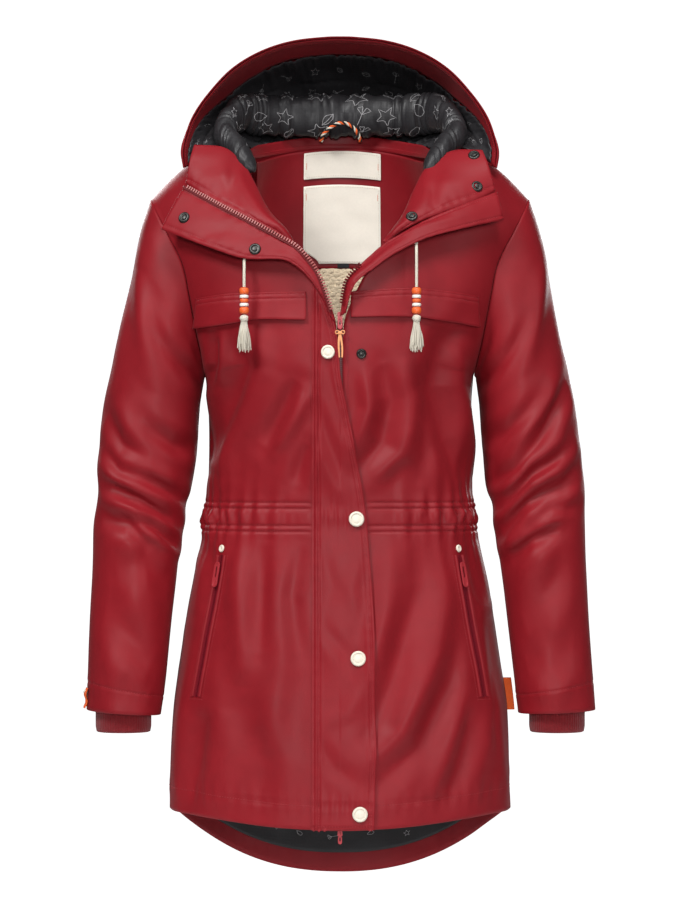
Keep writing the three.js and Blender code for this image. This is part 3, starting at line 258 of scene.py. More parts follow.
# Creases of the cloth, drawn one by one: side, the line's points as x and z, width and height.
# A height below 0 is a trough. On the placket they are the points and the height alone.
FRONT_CREASES = [
    (-1, ((-132, -222), (-112, -262), (-124, -300), (-158, -380)), 15, -4.6),
    (-1, ((-96, -232), (-98, -268), (-118, -314), (-150, -392)), 12, 3.4),
    (-1, ((-50, -278), (-64, -304), (-92, -356)), 10, -3.2),
    (-1, ((-40, -292), (-52, -322), (-76, -362)), 8, 2.2),
    (-1, ((-38, -352), (-46, -376), (-52, -402)), 8, -2.4),
    (-1, ((-150, -226), (-146, -258), (-154, -284)), 6, -2.6),
    (-1, ((-138, -224), (-140, -250), (-142, -276)), 5, 1.8),
    (-1, ((-158, -470), (-146, -500), (-152, -560)), 9, -3.4),
    (-1, ((-118, -470), (-116, -540), (-112, -640)), 13, 2.8),
    (-1, ((-88, -468), (-94, -520), (-98, -600)), 11, -2.4),
    (-1, ((-44, -470), (-56, -530), (-50, -600)), 9, -1.8),
    (-1, ((-62, -560), (-74, -640), (-86, -720)), 16, 2.2),
    (-1, ((-160, -650), (-170, -720), (-178, -780)), 10, -3.0),
    (-1, ((-130, -660), (-136, -730), (-140, -790)), 13, 2.0),
    (-1, ((-96, -680), (-88, -730), (-92, -780)), 14, -2.2),
    (1, ((146, -208), (118, -240), (106, -286), (122, -350), (150, -398)), 15, -4.6),
    (1, ((138, -236), (136, -284), (150, -350), (158, -396)), 10, 3.2),
    (1, ((48, -258), (62, -300), (50, -350), (20, -386)), 12, -3.0),
    (1, ((30, -262), (34, -312), (20, -352)), 9, 2.2),
    (1, ((78, -330), (70, -364), (36, -396)), 10, 2.0),
    (1, ((96, -320), (100, -362), (92, -404)), 9, -2.0),
    (1, ((96, -462), (96, -520), (66, -610), (38, -690)), 15, -3.4),
    (1, ((60, -470), (54, -540), (40, -620)), 13, 2.6),
    (1, ((124, -520), (112, -600), (70, -690), (34, -726)), 14, 2.8),
    (1, ((148, -570), (128, -640), (92, -706), (42, -752)), 13, -3.0),
    (1, ((162, -640), (150, -700), (128, -764)), 12, -3.0),
    (1, ((178, -560), (184, -640), (190, -730)), 9, -3.0),
    (1, ((142, -660), (128, -720), (100, -770)), 11, 2.0),
    (1, ((148, -470), (156, -500), (166, -540)), 7, -2.6),
    (1, ((132, -468), (140, -492), (150, -516)), 6, 2.0),
]
PLACKET_CREASES = [
    (((-16, -258), (-8, -296), (6, -338)), -2),
    (((-26, -300), (-14, -350), (0, -392)), -2.2),
    (((-26, -346), (-10, -392), (8, -424)), 1.6),
    (((-24, -560), (0, -590), (14, -606)), -1.6),
    (((-26, -700), (-6, -730), (20, -748)), -1.8),
    (((24, -640), (6, -668), (-18, -680)), 1.2),
    (((-18, -480), (-10, -520), (-16, -552)), -1.4),
    (((24, -484), (14, -520), (20, -560)), 1.4),
]
BACK_CREASES = [
    (1, ((150, -250), (112, -280), (62, -288)), 12, -2.2),
    (-1, ((-146, -246), (-106, -284), (-52, -298)), 12, -2.1),
    (1, ((40, -336), (52, -370), (50, -400)), 9, -1.9),
    (-1, ((-58, -330), (-48, -372), (-56, -404)), 9, -2.0),
    (1, ((96, -330), (88, -366), (96, -398)), 9, 1.8),
    (-1, ((-104, -338), (-92, -372), (-98, -400)), 9, 1.7),
    (1, ((30, -484), (36, -560), (26, -640)), 13, -2.3),
    (-1, ((-42, -480), (-36, -566), (-48, -650)), 13, 2.1),
    (1, ((92, -486), (100, -566), (94, -650)), 12, 2.2),
    (-1, ((-100, -484), (-108, -560), (-98, -640)), 12, -2.4),
    (1, ((60, -650), (54, -730), (66, -820)), 14, -2.2),
    (-1, ((-20, -640), (-14, -740), (-26, -840)), 14, -1.8),
    (-1, ((-82, -640), (-76, -730), (-88, -800)), 13, 2.0),
    (1, ((140, -650), (134, -720), (142, -790)), 11, -2.0),
    (-1, ((-146, -640), (-138, -716), (-144, -780)), 11, -1.9),
    (1, ((70, -40), (96, -74), (104, -120)), 12, -1.4),
    (-1, ((-74, -38), (-98, -78), (-110, -128)), 12, -1.5),
]
# Creases of a sleeve: the line's points as degrees round from the armpit side, front being 90, and ring.
SLEEVE_CREASES_LEFT = [
    (((20, 1.2), (62, 2.0), (96, 2.3)), 8, -2.2),
    (((150, 1.4), (120, 2.6), (90, 3.4)), 11, 1.8),
    (((20, 3.4), (58, 4.1), (104, 4.3)), 7, -2.2),
    (((160, 4.6), (120, 5.1), (74, 5.9)), 8, -3.2),
    (((26, 5.2), (66, 5.5), (112, 5.0)), 7, -2.8),
    (((40, 6.5), (82, 6.2), (128, 6.5)), 7, -3.4),
    (((24, 7.4), (74, 7.0), (120, 7.4), (150, 7.2)), 8, -3.6),
    (((60, 7.9), (98, 7.8), (140, 8.3)), 6, -2.6),
    (((34, 8.7), (76, 8.4), (112, 8.8)), 8, -3.0),
    (((120, 9.3), (84, 9.8), (50, 10.2)), 9, -2.2),
    (((44, 10.9), (80, 10.6), (120, 10.9)), 9, -1.8),
    (((128, 11.3), (86, 11.6), (50, 11.4)), 7, 1.3),
    (((200, 3.4), (240, 4.4), (286, 4.9)), 11, -2.2),
    (((210, 5.8), (256, 6.4), (310, 6.6)), 10, -2.8),
    (((220, 7.6), (270, 7.4), (330, 7.8)), 9, -2.4),
    (((206, 9.2), (250, 9.6), (300, 10.2)), 11, -2.0),
]
SLEEVE_CREASES_RIGHT = [
    (((24, 1.1), (60, 1.9), (92, 2.5)), 8, -2.3),
    (((146, 1.6), (118, 2.8), (92, 3.8)), 11, 1.9),
    (((18, 3.7), (54, 4.4), (98, 4.8)), 7, -2.4),
    (((154, 5.3), (118, 5.7), (80, 5.5)), 9, -3.2),
    (((28, 5.8), (68, 6.1), (116, 6.5), (150, 6.1)), 7, -3.0),
    (((34, 6.9), (84, 7.0), (134, 7.4)), 8, -3.8),
    (((22, 7.9), (66, 7.7), (104, 8.1)), 6, -2.8),
    (((62, 8.6), (102, 8.3), (146, 8.7)), 8, -3.0),
    (((30, 9.3), (72, 9.0), (112, 9.5)), 8, -2.2),
    (((126, 10.1), (88, 10.4), (52, 10.9)), 10, -1.9),
    (((50, 11.3), (84, 11.0), (122, 11.3)), 8, 1.4),
    (((206, 3.0), (246, 4.1), (290, 4.6)), 11, -2.3),
    (((214, 5.5), (262, 6.1), (312, 6.5)), 10, -2.7),
    (((222, 7.3), (268, 7.7), (326, 7.5)), 9, -2.5),
    (((204, 9.6), (252, 9.4), (304, 10.0)), 11, -2.1),
]


# Curves and surfaces.


def sample(rows, by, at):
    """A row of a table at values of one column, by a smooth curve through the rows."""
    at = np.asarray(at, float)
    key = rows[by]
    last = len(key) - 1
    way = 1 if key[-1] > key[0] else -1
    b = np.clip(np.searchsorted(way * key, way * at, side="left"), 1, last)
    a = b - 1
    before = np.maximum(b - 2, 0)
    after = np.minimum(b + 1, last)
    span = key[b] - key[a]
    r = np.clip((at - key[a]) / span, 0, 1)
    out = {}
    for name, column in rows.items():
        leave = span * (column[b] - column[before]) / (key[b] - key[before])
        reach = span * (column[after] - column[a]) / (key[after] - key[a])
        out[name] = (
            column[a] * (1 + 2 * r) * (1 - r) ** 2
            + leave * r * (1 - r) ** 2
            + column[b] * r * r * (3 - 2 * r)
            + reach * r * r * (r - 1)
        )
    return out


def xyz(x, y, z):
    return np.stack(np.broadcast_arrays(x, y, z), -1).astype(float)


def lerp(a, b, t):
    return a + (b - a) * t


def smooth(r):
    r = np.clip(r, 0, 1)
    return r * r * (3 - 2 * r)


def bump(away, wide):
    return np.exp(-((away / wide) ** 2))


def signed_power(value, power):
    return np.sign(value) * np.abs(value) ** power


def unit(v):
    return v / np.maximum(np.linalg.norm(v, axis=-1, keepdims=True), 1e-9)


def mirrored(points, side):
    return points * np.array([side, 1, 1])


def normals(surface, u, v, du, dv):
    across = surface(u + du, v) - surface(u - du, v)
    up = surface(u, v + dv) - surface(u, v - dv)
    return unit(np.cross(across, up))


def layer(surface, away, turn, du=1e-3, dv=1e-3):
    """A surface moved along its normal."""
    return lambda u, v: surface(u, v) + normals(surface, u, v, du, dv) * (turn * away)


def mean_within(surface, reach):
    """Mean of a surface's points over steps up to a reach either way."""
    return sum(surface(reach * step) for step in (-1, -0.6, -0.2, 0.2, 0.6, 1)) / 6


def front_hem(angle):
    return HEM - FRONT_HEM_DROP * np.cos(angle) ** 4


def back_hem(angle):
    return HEM - BACK_HEM_DROP * np.abs(np.cos(angle)) ** 1.8


def gathers(angle, z):
    """How far the waist's gathers and the largest folds stand out."""
    degrees = np.abs(angle) / DEG
    count = np.where(degrees > 90, 6, 8)
    from_side = np.abs(90 - degrees) / 70
    wave = 0.5 - 0.5 * np.cos(2 * np.pi * count * (1 - from_side))
    uneven = 0.75 + 0.25 * np.sin(0.37 * degrees)
    tall = bump(z - WAIST_Z, 24) + 0.25 * bump(z - WAIST_Z, 75)
    out = np.where(from_side < 1, 3.4 * wave * uneven * tall, 0)
    for k in range(len(FOLDS["z"])):
        fold = {name: column[k] for name, column in FOLDS.items()}
        line = fold["round"] + fold["lean"] * (z - fold["z"])
        out = out + fold["high"] * bump(z - fold["z"], fold["tall"]) * bump(degrees - line, fold["wide"])
    return out


def lower_body(angle, z):
    ring = sample(BODY, "z", z)
    s, c = np.sin(angle), np.cos(angle)
    out = gathers(angle, z)
    depth = np.where(c > 0, ring["front"], ring["back"])
    return xyz(
        ring["half"] * signed_power(s, BODY_POWER) + out * s,
        -depth * signed_power(c, BODY_POWER) - out * c,
        z,
    )


def edge_angle(z):
    return np.arcsin((FRONT_EDGE_X / sample(BODY, "z", z)["half"]) ** (1 / BODY_POWER))


def armhole(t, facing):
    z = (ARMPIT + SHOULDER) / 2 - (SHOULDER - ARMPIT) / 2 * np.cos(np.pi * t)
    return xyz(sample(ARMHOLE, "z", z)["x"], facing * ARMHOLE_DEPTH * np.sin(np.pi * t), z)


def upper_front_raw(u, t):
    edge = sample(FRONT_EDGE, "t", t)
    arm = armhole(t, -1)
    turn = np.pi / 2 - SHOULDER_ROLL * smooth(t)
    power = lerp(BODY_POWER, 1, smooth(t))
    along = (np.sin(u * turn) / np.sin(turn)) ** power
    end = np.maximum(np.cos(turn), 0) ** power
    fall = (np.maximum(np.cos(u * turn), 0) ** power - end) / (1 - end)
    crown = SHOULDER_CROWN * np.sin(np.pi * along) * smooth(t) ** 2
    return xyz(
        lerp(edge["x"], arm[..., 0], along),
        lerp(arm[..., 1], edge["y"], fall),
        lerp(edge["z"], arm[..., 2], along) + crown,
    )


def upper_front(u, t):
    u = np.maximum(u, 1e-6)
    start = edge_angle(ARMPIT)
    seat = lower_body(start + (np.pi / 2 - start) * u, ARMPIT) - upper_front_raw(u, np.zeros_like(t))
    return upper_front_raw(u, t) + seat * ((1 - t) ** 3)[..., None]


def back_top(u):
    shoulder = upper_front_raw(np.maximum((u - NECK_SHARE) / (1 - NECK_SHARE), 1e-6), np.ones_like(u))
    turn = u / NECK_SHARE * np.pi / 2
    neck = xyz(110 * np.sin(turn), -14 + (NECK_BACK_Y + 14) * np.cos(turn), -5 + (NECK_BACK_Z + 5) * np.cos(turn) ** 2)
    return np.where((u >= NECK_SHARE)[..., None], shoulder, neck)


def upper_back(u, t):
    rolled = 1 - np.sqrt(np.maximum(0, 1 - t**2.4))
    over = lerp(t * t, rolled, smooth(u / NECK_SHARE))

    def raw(foot, top):
        return xyz(
            lerp(foot[..., 0], top[..., 0], t),
            lerp(foot[..., 1], top[..., 1], over),
            lerp(foot[..., 2], top[..., 2], t),
        )

    one = np.ones_like(u)
    drift = armhole(t, 1) - raw(lower_body(one * np.pi / 2, ARMPIT), back_top(one))
    return raw(lower_body(np.pi * (1 - u / 2), ARMPIT), back_top(u)) + drift * (u**3)[..., None]


def band_z(row, hem):
    return np.where(row >= HEM_BAND, row, lerp(hem, HEM_BAND, (row - HEM) / (HEM_BAND - HEM)))


def front_surface(share, row):
    """Front panel: share from its edge to its side, and a row that is Z below the armpit."""
    share, row = np.broadcast_arrays(np.asarray(share, float), np.asarray(row, float))
    low = np.minimum(row, ARMPIT)
    start = edge_angle(low)
    angle = start + share * (np.pi / 2 - 0.0022 - start)
    below = lower_body(angle, band_z(low, front_hem(angle)))
    above = upper_front(np.clip(share, 0, 1), np.clip(1 - row / ARMPIT, 0, 1))
    return np.where((row > ARMPIT)[..., None], above, below)


def back_surface(angle, row):
    angle, row = np.broadcast_arrays(np.asarray(angle, float), np.asarray(row, float))
    low = np.minimum(row, ARMPIT)
    below = lower_body(angle, band_z(low, back_hem(angle)))
    share = np.clip(np.abs(np.pi - angle) / (np.pi / 2), 0, 1)
    above = upper_back(share, np.clip(1 - row / ARMPIT, 0, 1))
    above = above * np.stack([np.where(angle > np.pi, -1, 1), np.ones_like(angle), np.ones_like(angle)], -1)
    return np.where((row > ARMPIT)[..., None], above, below)


def quarter_turn(across, x):
    """Angles from 0 to a quarter turn where a growing function reaches x, by halving."""
    low, high = np.zeros_like(x), np.full_like(x, np.pi / 2)
    for _ in range(24):
        mid = (low + high) / 2
        short = across(mid) < x
        low, high = np.where(short, mid, low), np.where(short, high, mid)
    return (low + high) / 2


def front_y(x, z):
    """Depth of the fronts' outer face under points of the front view."""
    x, z = np.broadcast_arrays(np.abs(np.asarray(x, float)), np.asarray(z, float))
    below_z = np.minimum(z, ARMPIT)
    below = lower_body(quarter_turn(lambda angle: lower_body(angle, below_z)[..., 0], x), below_z)[..., 1]
    if not np.any(z > ARMPIT):
        return below
    u, t = np.full_like(x, 0.5), np.full_like(x, 0.5)
    for _ in range(14):
        p = upper_front(u, t)
        pu = (upper_front(u + 1e-3, t) - p) / 1e-3
        pt = (upper_front(u, t + 1e-3) - p) / 1e-3
        ex, ez = x - p[..., 0], z - p[..., 2]
        det = pu[..., 0] * pt[..., 2] - pt[..., 0] * pu[..., 2]
        u = np.clip(u + 0.8 * (ex * pt[..., 2] - ez * pt[..., 0]) / det, 0, 0.999)
        t = np.clip(t + 0.8 * (pu[..., 0] * ez - pu[..., 2] * ex) / det, 0, 0.998)
    return np.where(z > ARMPIT, upper_front(u, t)[..., 1], below)


def front_normal(x, z):
    return unit(xyz((front_y(x + 1, z) - front_y(x - 1, z)) / 2, -1, (front_y(x, z + 1) - front_y(x, z - 1)) / 2))


def over_front(x, z, off=0.0):
    """Points off the fronts' outer face, creases and all."""
    x, z = np.broadcast_arrays(np.asarray(x, float), np.asarray(z, float))
    lift = off + front_relief(x, z)
    return xyz(x, front_y(x, z), z) + front_normal(x, z) * lift[..., None]


def sleeve_surface(rows):
    def surface(angle, k):
        ring = sample(rows, "k", k)
        blend = 0.5 - 0.5 * np.cos(angle)
        x = lerp(ring["ix"], ring["ox"], blend)
        z = lerp(ring["iz"], ring["oz"], blend)
        loop = sample(ARMHOLE, "z", lerp(ARMPIT, SHOULDER, blend))["x"]
        straight = lerp(160, 226, blend)
        start = np.maximum(0, 1 - k / 2.5) ** 2
        out = 0
        for j in range(len(ELBOW["k"])):
            out = out + ELBOW["high"][j] * bump(k - ELBOW["k"][j], 0.45) * bump(
                angle / DEG - ELBOW["round"][j], ELBOW["wide"][j]
            )
        tilt = np.arctan2(ring["oz"] - ring["iz"], ring["ox"] - ring["ix"])
        away = out * np.cos(angle)
        return xyz(
            x + (loop - straight) * start + 1.1 * np.maximum(0, 1 - k) - away * np.cos(tilt),
            ring["y"] - (ring["deep"] + out) * np.sin(angle),
            z - away * np.sin(tilt),
        )

    return surface


def hood_form(s, t):
    s, t = np.broadcast_arrays(np.asarray(s, float), np.asarray(t, float))
    half = np.clip(np.minimum(s, 1 - s), 0, 0.5)
    rim = sample(HOOD_RIM, "s", half)
    rise = smooth(half / 0.5)
    turn = (half / 0.5) ** 0.8 * np.pi / 2
    neck = back_top(NECK_SHARE * (1 - 2 * turn / np.pi)) + np.array([0, 0, 0.9])
    cos, sin = np.cos(turn), np.sin(turn)
    back = 26 + 100 * np.minimum(1, 2.2 * rise)
    away = 24 + 96 * np.minimum(1, 2 * rise)
    start = xyz(rim["x"], rim["y"], rim["z"])
    leave = xyz(rim["x"], rim["y"] + back * (0.62 + 0.38 * rise), rim["z"] - 0.24 * back * (0.3 + 0.7 * rise))
    reach = xyz(
        HOOD_NECK_X * cos + away * 0.7 * cos,
        HOOD_NECK_FRONT + (HOOD_NECK_BACK - HOOD_NECK_FRONT) * sin + away * (0.06 + 0.68 * sin),
        HOOD_NECK_Z + HOOD_NECK_RISE * sin + away * (0.05 + 0.3 * rise),
    )
    t = t[..., None]
    points = start * (1 - t) ** 3 + leave * 3 * t * (1 - t) ** 2 + reach * 3 * t * t * (1 - t) + neck * t**3
    return points * np.stack([np.where(s > 0.5, -1, 1), np.ones_like(s), np.ones_like(s)], -1)


def hood_surface(s, t):
    """The hood's form, rounded where its two halves meet."""
    reach = 0.035 * bump(np.asarray(s, float) - 0.5, 0.05)
    return mean_within(lambda step: hood_form(s + step, t), reach)


def lapel_surface(rows, side, puff):
    def surface(u, v):
        row = sample(rows, "v", v)
        lift = puff * np.sin(np.pi * np.clip(u, 0, 1)) * np.minimum(1, 4 * v)
        return xyz(
            side * lerp(row["ax"], row["bx"], u),
            lerp(row["ay"], row["by"], u) - lift,
            lerp(row["az"], row["bz"], u) + 0.4 * lift,
        )

    return surface


# Relief of the cloth.


def off_line(points, x, y):
    """Distance from points to a line through a few points, and the share along it."""
    px, py = np.array(points, float).T
    lengths = np.hypot(np.diff(px), np.diff(py))
    total, gone = lengths.sum(), 0.0
    best, where = np.full(np.shape(x), np.inf), np.zeros(np.shape(x))
    for k, length in enumerate(lengths):
        dx, dy = (px[k + 1] - px[k]) / length, (py[k + 1] - py[k]) / length
        along = (x - px[k]) * dx + (y - py[k]) * dy
        held = np.clip(along, 0, length)
        away = np.hypot(x - px[k] - held * dx, y - py[k] - held * dy)
        near = away < best
        best, where = np.where(near, away, best), np.where(near, (gone + held) / total, where)
        gone += length
    return best, where


def creases(strokes, x, y):
    out = np.zeros(np.shape(x))
    for points, wide, high in strokes:
        away, share = off_line(points, x, y)
        fade = np.sqrt(np.clip(np.sin(np.pi * np.clip(share, 0.02, 0.98)), 0, 1))
        out += high * fade * (bump(away, wide) - 0.35 * bump(away - 2 * wide, wide))
    return out


def side_creases(rows, side, x, z):
    """Creases of one side of the coat, ending at its middle."""
    own = [(points, wide, high) for where, points, wide, high in rows if where == side]
    return np.where(x * side > 0, creases(own, x, z), 0)


def waves(x, y, long, seed):
    """Uneven soft swell of cloth, about 1 high, with waves of about one length."""
    rng = np.random.default_rng(seed)
    out = np.zeros(np.shape(x))
    for _ in range(5):
        turn, phase, size = rng.uniform(0, 2 * np.pi), rng.uniform(0, 2 * np.pi), rng.uniform(0.7, 1.5)
        out += np.sin((x * np.cos(turn) + y * np.sin(turn)) * 2 * np.pi / (long * size) + phase)
    return out / 3


def groove(away, wide=0.9, deep=0.6):
    """Cross-section of cloth pulled in by a row of stitches."""
    return -deep * bump(away, wide) + 0.3 * deep * bump(np.abs(away) - 3 * wide, 1.6 * wide)


CHANNEL_ROWS = (-422, -429, -449, -456)


FRONT_DEPTH, BACK_DEPTH, SLEEVE_DEPTH, HOOD_DEPTH = 2.0, 1.7, 2.35, 1.4


def front_relief(x, z):
    """Creases of the fronts over their largest folds, at points of the front view."""
    out = waves(x, 0.6 * z, 120, 3) + 0.3 * waves(x, z, 48, 4)
    for side in (-1, 1):
        out = out + FRONT_DEPTH * side_creases(FRONT_CREASES, side, x, z)
        zip_line = (side * POCKET_LOW[0], POCKET_LOW[1] - 6), (side * POCKET_TOP[0], POCKET_TOP[1] + 10)
        away, _ = off_line(zip_line, x, z)
        out = out * (1 - 0.88 * np.where(x * side > 0, bump(away, 17), 0))
    return out + channel_relief(x, z) + hem_pucker(x, z, front_hem(np.arcsin(np.clip(np.abs(x) / 206, 0, 1))))


def channel_relief(across, z):
    """Ruching of the waist channel and its four rows of stitches."""
    side = smooth((np.abs(across) - 30) / 115)
    phase = across * 2 * np.pi / 15 + 2.2 * np.sin(across / 12.5) + 1.6 * np.sin(across / 31 + 1)
    lean = (z - WAIST_Z) * 0.09 * np.sin(across / 19)
    ruche = (np.sin(phase + lean) + 0.5 * np.sin(1.9 * phase - 2 * lean + 1)) * (0.25 + 1.35 * side)
    ruche = ruche * (0.55 + 0.45 * np.sin(across / 23 + 2))
    out = 1.5 * ruche * bump(z - WAIST_Z + 3 * np.sin(across / 9), 9) + 0.5 * ruche * bump(z - WAIST_Z, 30)
    out = out + 1.2 * bump(z - WAIST_Z, 8)
    for row in CHANNEL_ROWS:
        out = out + groove(z - row, 1.2, 1.0) * smooth((np.abs(across) - 30) / 10)
    return out


def hem_pucker(across, z, hem):
    line = z - hem - 27
    pucker = 0.55 * np.sin(across * 2 * np.pi / 13 + 2 * np.sin(across / 31)) * bump(line, 12)
    return pucker + groove(line, 1.2, 1.1)


# Meshes.


def grid_faces(index, closed):
    """Faces between the rows of a grid of vertex numbers."""
    grid = np.concatenate([index, index[:, :1]], 1) if closed else index
    return np.stack([grid[:-1, :-1], grid[:-1, 1:], grid[1:, 1:], grid[1:, :-1]], -1).reshape(-1, 4)


class Panel:
    """A cut piece of cloth: a fine grid of its outer face, raised by a relief."""

    def __init__(self, surface, us, vs, turn, closed=False, relief=None):
        self.us, self.vs, self.closed = np.asarray(us, float), np.asarray(vs, float), closed
        columns = self.us[:-1] if closed else self.us
        self.columns = columns
        u, v = np.meshgrid(columns, self.vs)
        points = surface(u, v)
        self.normals = self.facing(points) * turn
        if relief is not None:
            points = points + self.normals * relief(u, v, points)[..., None]
            self.normals = self.facing(points) * turn
        self.points = points

    def facing(self, points):
        if self.closed:
            across = np.roll(points, -1, 1) - np.roll(points, 1, 1)
        else:
            across = np.gradient(points, axis=1)
        return unit(np.cross(across, np.gradient(points, axis=0)))

    def at(self, u, v, off=0.0):
        """Points off the face at places u and v, and its normals there."""
        u, v = np.broadcast_arrays(np.asarray(u, float), np.asarray(v, float))
        i = np.clip(np.searchsorted(self.columns, u) - 1, 0, len(self.columns) - 2)
        j = np.clip(np.searchsorted(self.vs, v) - 1, 0, len(self.vs) - 2)
        a = np.clip((u - self.columns[i]) / (self.columns[i + 1] - self.columns[i]), 0, 1)[..., None]
        b = np.clip((v - self.vs[j]) / (self.vs[j + 1] - self.vs[j]), 0, 1)[..., None]

        def mix(grid):
            low = grid[j, i] * (1 - a) + grid[j, i + 1] * a
            high = grid[j + 1, i] * (1 - a) + grid[j + 1, i + 1] * a
            return low * (1 - b) + high * b

        normal = unit(mix(self.normals))
        return mix(self.points) + normal * off, normal

    def shell(self, thick):
        """Vertices and faces of the wall, its edges rolled round."""
        outer, inner = self.points, self.points - self.normals * thick
        rows, cols = outer.shape[:2]
        count = rows * cols
        verts = [outer.reshape(-1, 3), inner.reshape(-1, 3)]
        index = np.arange(count).reshape(rows, cols)
        quads = grid_faces(index, self.closed)
        faces = [quads, quads[:, ::-1] + count]
        made = 2 * count
        edges = [(index[0], index[1]), (index[-1], index[-2])]
        if not self.closed:
            edges += [(index[:, 0], index[:, 1]), (index[:, -1], index[:, -2])]
        flat_outer, flat_inner = verts
        corners = {}
        for edge, within in edges:
            outward = unit(flat_outer[edge] - flat_outer[within])
            mid = (flat_outer[edge] + flat_inner[edge]) / 2 + outward * 0.45 * np.ravel(thick)[0]
            ids = np.arange(len(edge)) + made
            for end in (0, -1):
                if not self.closed:
                    ids[end] = corners.setdefault(int(edge[end]), ids[end])
            verts.append(mid)
            made += len(edge)
            ring = np.append(np.arange(len(edge)), 0) if self.closed else np.arange(len(edge))
            a, b = edge[ring[:-1]], edge[ring[1:]]
            m, n = ids[ring[:-1]], ids[ring[1:]]
            faces += [np.stack([a, b, n, m], -1), np.stack([m, n, b + count, a + count], -1)]
        return np.concatenate(verts), np.concatenate(faces)


def mesh_of(name, verts, faces, sharp=80, slots=None):
    mesh = bpy.data.meshes.new(name)
    mesh.from_pydata((np.asarray(verts) * MM).tolist(), [], [list(map(int, f)) for f in faces])
    if slots is not None:
        mesh.polygons.foreach_set("material_index", np.asarray(slots, np.int32))
    made = bmesh.new()
    made.from_mesh(mesh)
    loose = [v for v in made.verts if not v.link_faces]
    bmesh.ops.delete(made, geom=loose, context="VERTS")
    bmesh.ops.recalc_face_normals(made, faces=made.faces)
    made.to_mesh(mesh)
    made.free()
    mesh.shade_smooth()
    mesh.set_sharp_from_angle(angle=sharp * DEG)
    return mesh


def add_piece(name, mesh, finishes, body=COAT, stands_for=()):
    """Puts a piece in the scene, with its finish, on the body that it moves with."""
    piece = bpy.data.objects.new(name, mesh)
    bpy.context.scene.collection.objects.link(piece)
    for finish in finishes if isinstance(finishes, (list, tuple)) else [finishes]:
        mesh.materials.append(finish)
    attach(piece, body)
    if stands_for:
        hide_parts(*([stands_for] if isinstance(stands_for, str) else stands_for))
    return piece


def cloth_piece(name, panel, thick, finish, node=None):
    """A panel as a piece of the coat, declared as a sheet with the size that it was cut to."""
    piece = add_piece(name, mesh_of(name, *panel.shell(thick)), finish, stands_for=node or ())


def solid_piece(name, shape, finishes, sharp=80, slots=None, body=COAT):
    """A piece from vertices and faces, in place of the node that has its name."""
    return add_piece(name, mesh_of(name, *shape, sharp, slots), finishes, body, name)


def slots_of(parts, numbers):
    """The finish number of each face of joined parts."""
    return [number for (_, faces), number in zip(parts, numbers) for _ in range(len(faces))]


def join_parts(parts):
    """One set of vertices and faces from several."""
    verts, faces, start = [], [], 0
    for points, quads in parts:
        verts.append(np.asarray(points, float))
        faces += [[int(i) + start for i in f] for f in quads]
        start += len(points)
    return np.concatenate(verts), faces


def lathe(outline, around=32):
    """A turned piece about +Z from (radius, height) points."""
    turn = np.arange(around) * 2 * np.pi / around
    verts, faces, rings = [], [], []
    for radius, height in outline:
        if radius < 1e-6:
            rings.append([len(verts)])
            verts.append((0, 0, height))
        else:
            rings.append(list(range(len(verts), len(verts) + around)))
            verts += [(radius * math.cos(a), radius * math.sin(a), height) for a in turn]
    for low, high in zip(rings, rings[1:]):
        for i in range(around):
            j = (i + 1) % around
            quad = [low[i % len(low)], low[j % len(low)], high[j % len(high)], high[i % len(high)]]
            quad = list(dict.fromkeys(quad))
            if len(quad) > 2:
                faces.append(quad)
    return np.array(verts, float), faces


def seated(verts, place, normal, spin=0.0):
    """Points about the origin, +Z up, set down at a place with +Z along a normal."""
    turn = Vector((0, 0, 1)).rotation_difference(Vector(normal)).to_matrix()
    c, s = math.cos(spin), math.sin(spin)
    flat = verts @ np.array([[c, s, 0], [-s, c, 0], [0, 0, 1]])
    return flat @ np.array(turn).T + np.asarray(place)


def turned_piece(name, outline, around, place, normal, finish, sharp):
    """A turned piece set down on the cloth."""
    verts, faces = lathe(outline, around)
    solid_piece(name, (seated(verts, place, normal), faces), FINISHES[finish], sharp)


def tube(path, radius, around=8, twist=0.0, shape=None):
    """A tube along points, closed at both ends. shape gives the radius by angle and share along."""
    path = np.asarray(path, float)
    ahead = unit(np.gradient(path, axis=0))
    side = np.cross(ahead[0], [0, 0, 1.0])
    if np.linalg.norm(side) < 0.2:
        side = np.cross(ahead[0], [0, 1.0, 0])
    rings = []
    for k, (point, along) in enumerate(zip(path, ahead)):
        side = unit(side - along * np.dot(side, along))
        up = np.cross(along, side)
        share = k / (len(path) - 1)
        angle = np.arange(around) * 2 * np.pi / around
        size = radius if shape is None else radius * shape(angle, share)
        turned = angle + twist * share
        ring = np.cos(turned)[:, None] * side + np.sin(turned)[:, None] * up
        rings.append(point + ring * np.reshape(size, (-1, 1)))
    verts = np.concatenate(rings + [path[:1], path[-1:]])
    faces = []
    for j in range(len(path) - 1):
        for i in range(around):
            a, b = j * around + i, j * around + (i + 1) % around
            faces.append([a, b, b + around, a + around])
    last = (len(path) - 1) * around
    for i in range(around):
        n = (i + 1) % around
        faces.append([len(verts) - 2, n, i])
        faces.append([len(verts) - 1, last + i, last + n])
    return verts, faces


def lengths_to(points):
    """Length of a line up to each of its points."""
    return np.concatenate([[0], np.cumsum(np.linalg.norm(np.diff(points, axis=0), axis=1))])


def at_lengths(values, gone, at):
    """Values known at the points of a line, at lengths along it."""
    return np.stack([np.interp(at, gone, values[:, k]) for k in range(3)], -1)


def curve_through(points, count):
    """Evenly spaced points on a smooth curve through a few."""
    points = np.asarray(points, float)
    gone = lengths_to(points)
    rows = {"d": gone, "x": points[:, 0], "y": points[:, 1], "z": points[:, 2]}
    fine = sample(rows, "d", np.linspace(0, gone[-1], 12 * count))
    return evenly(xyz(fine["x"], fine["y"], fine["z"]), count)


def evenly(points, count):
    gone = lengths_to(points)
    return at_lengths(points, gone, np.linspace(0, gone[-1], count))


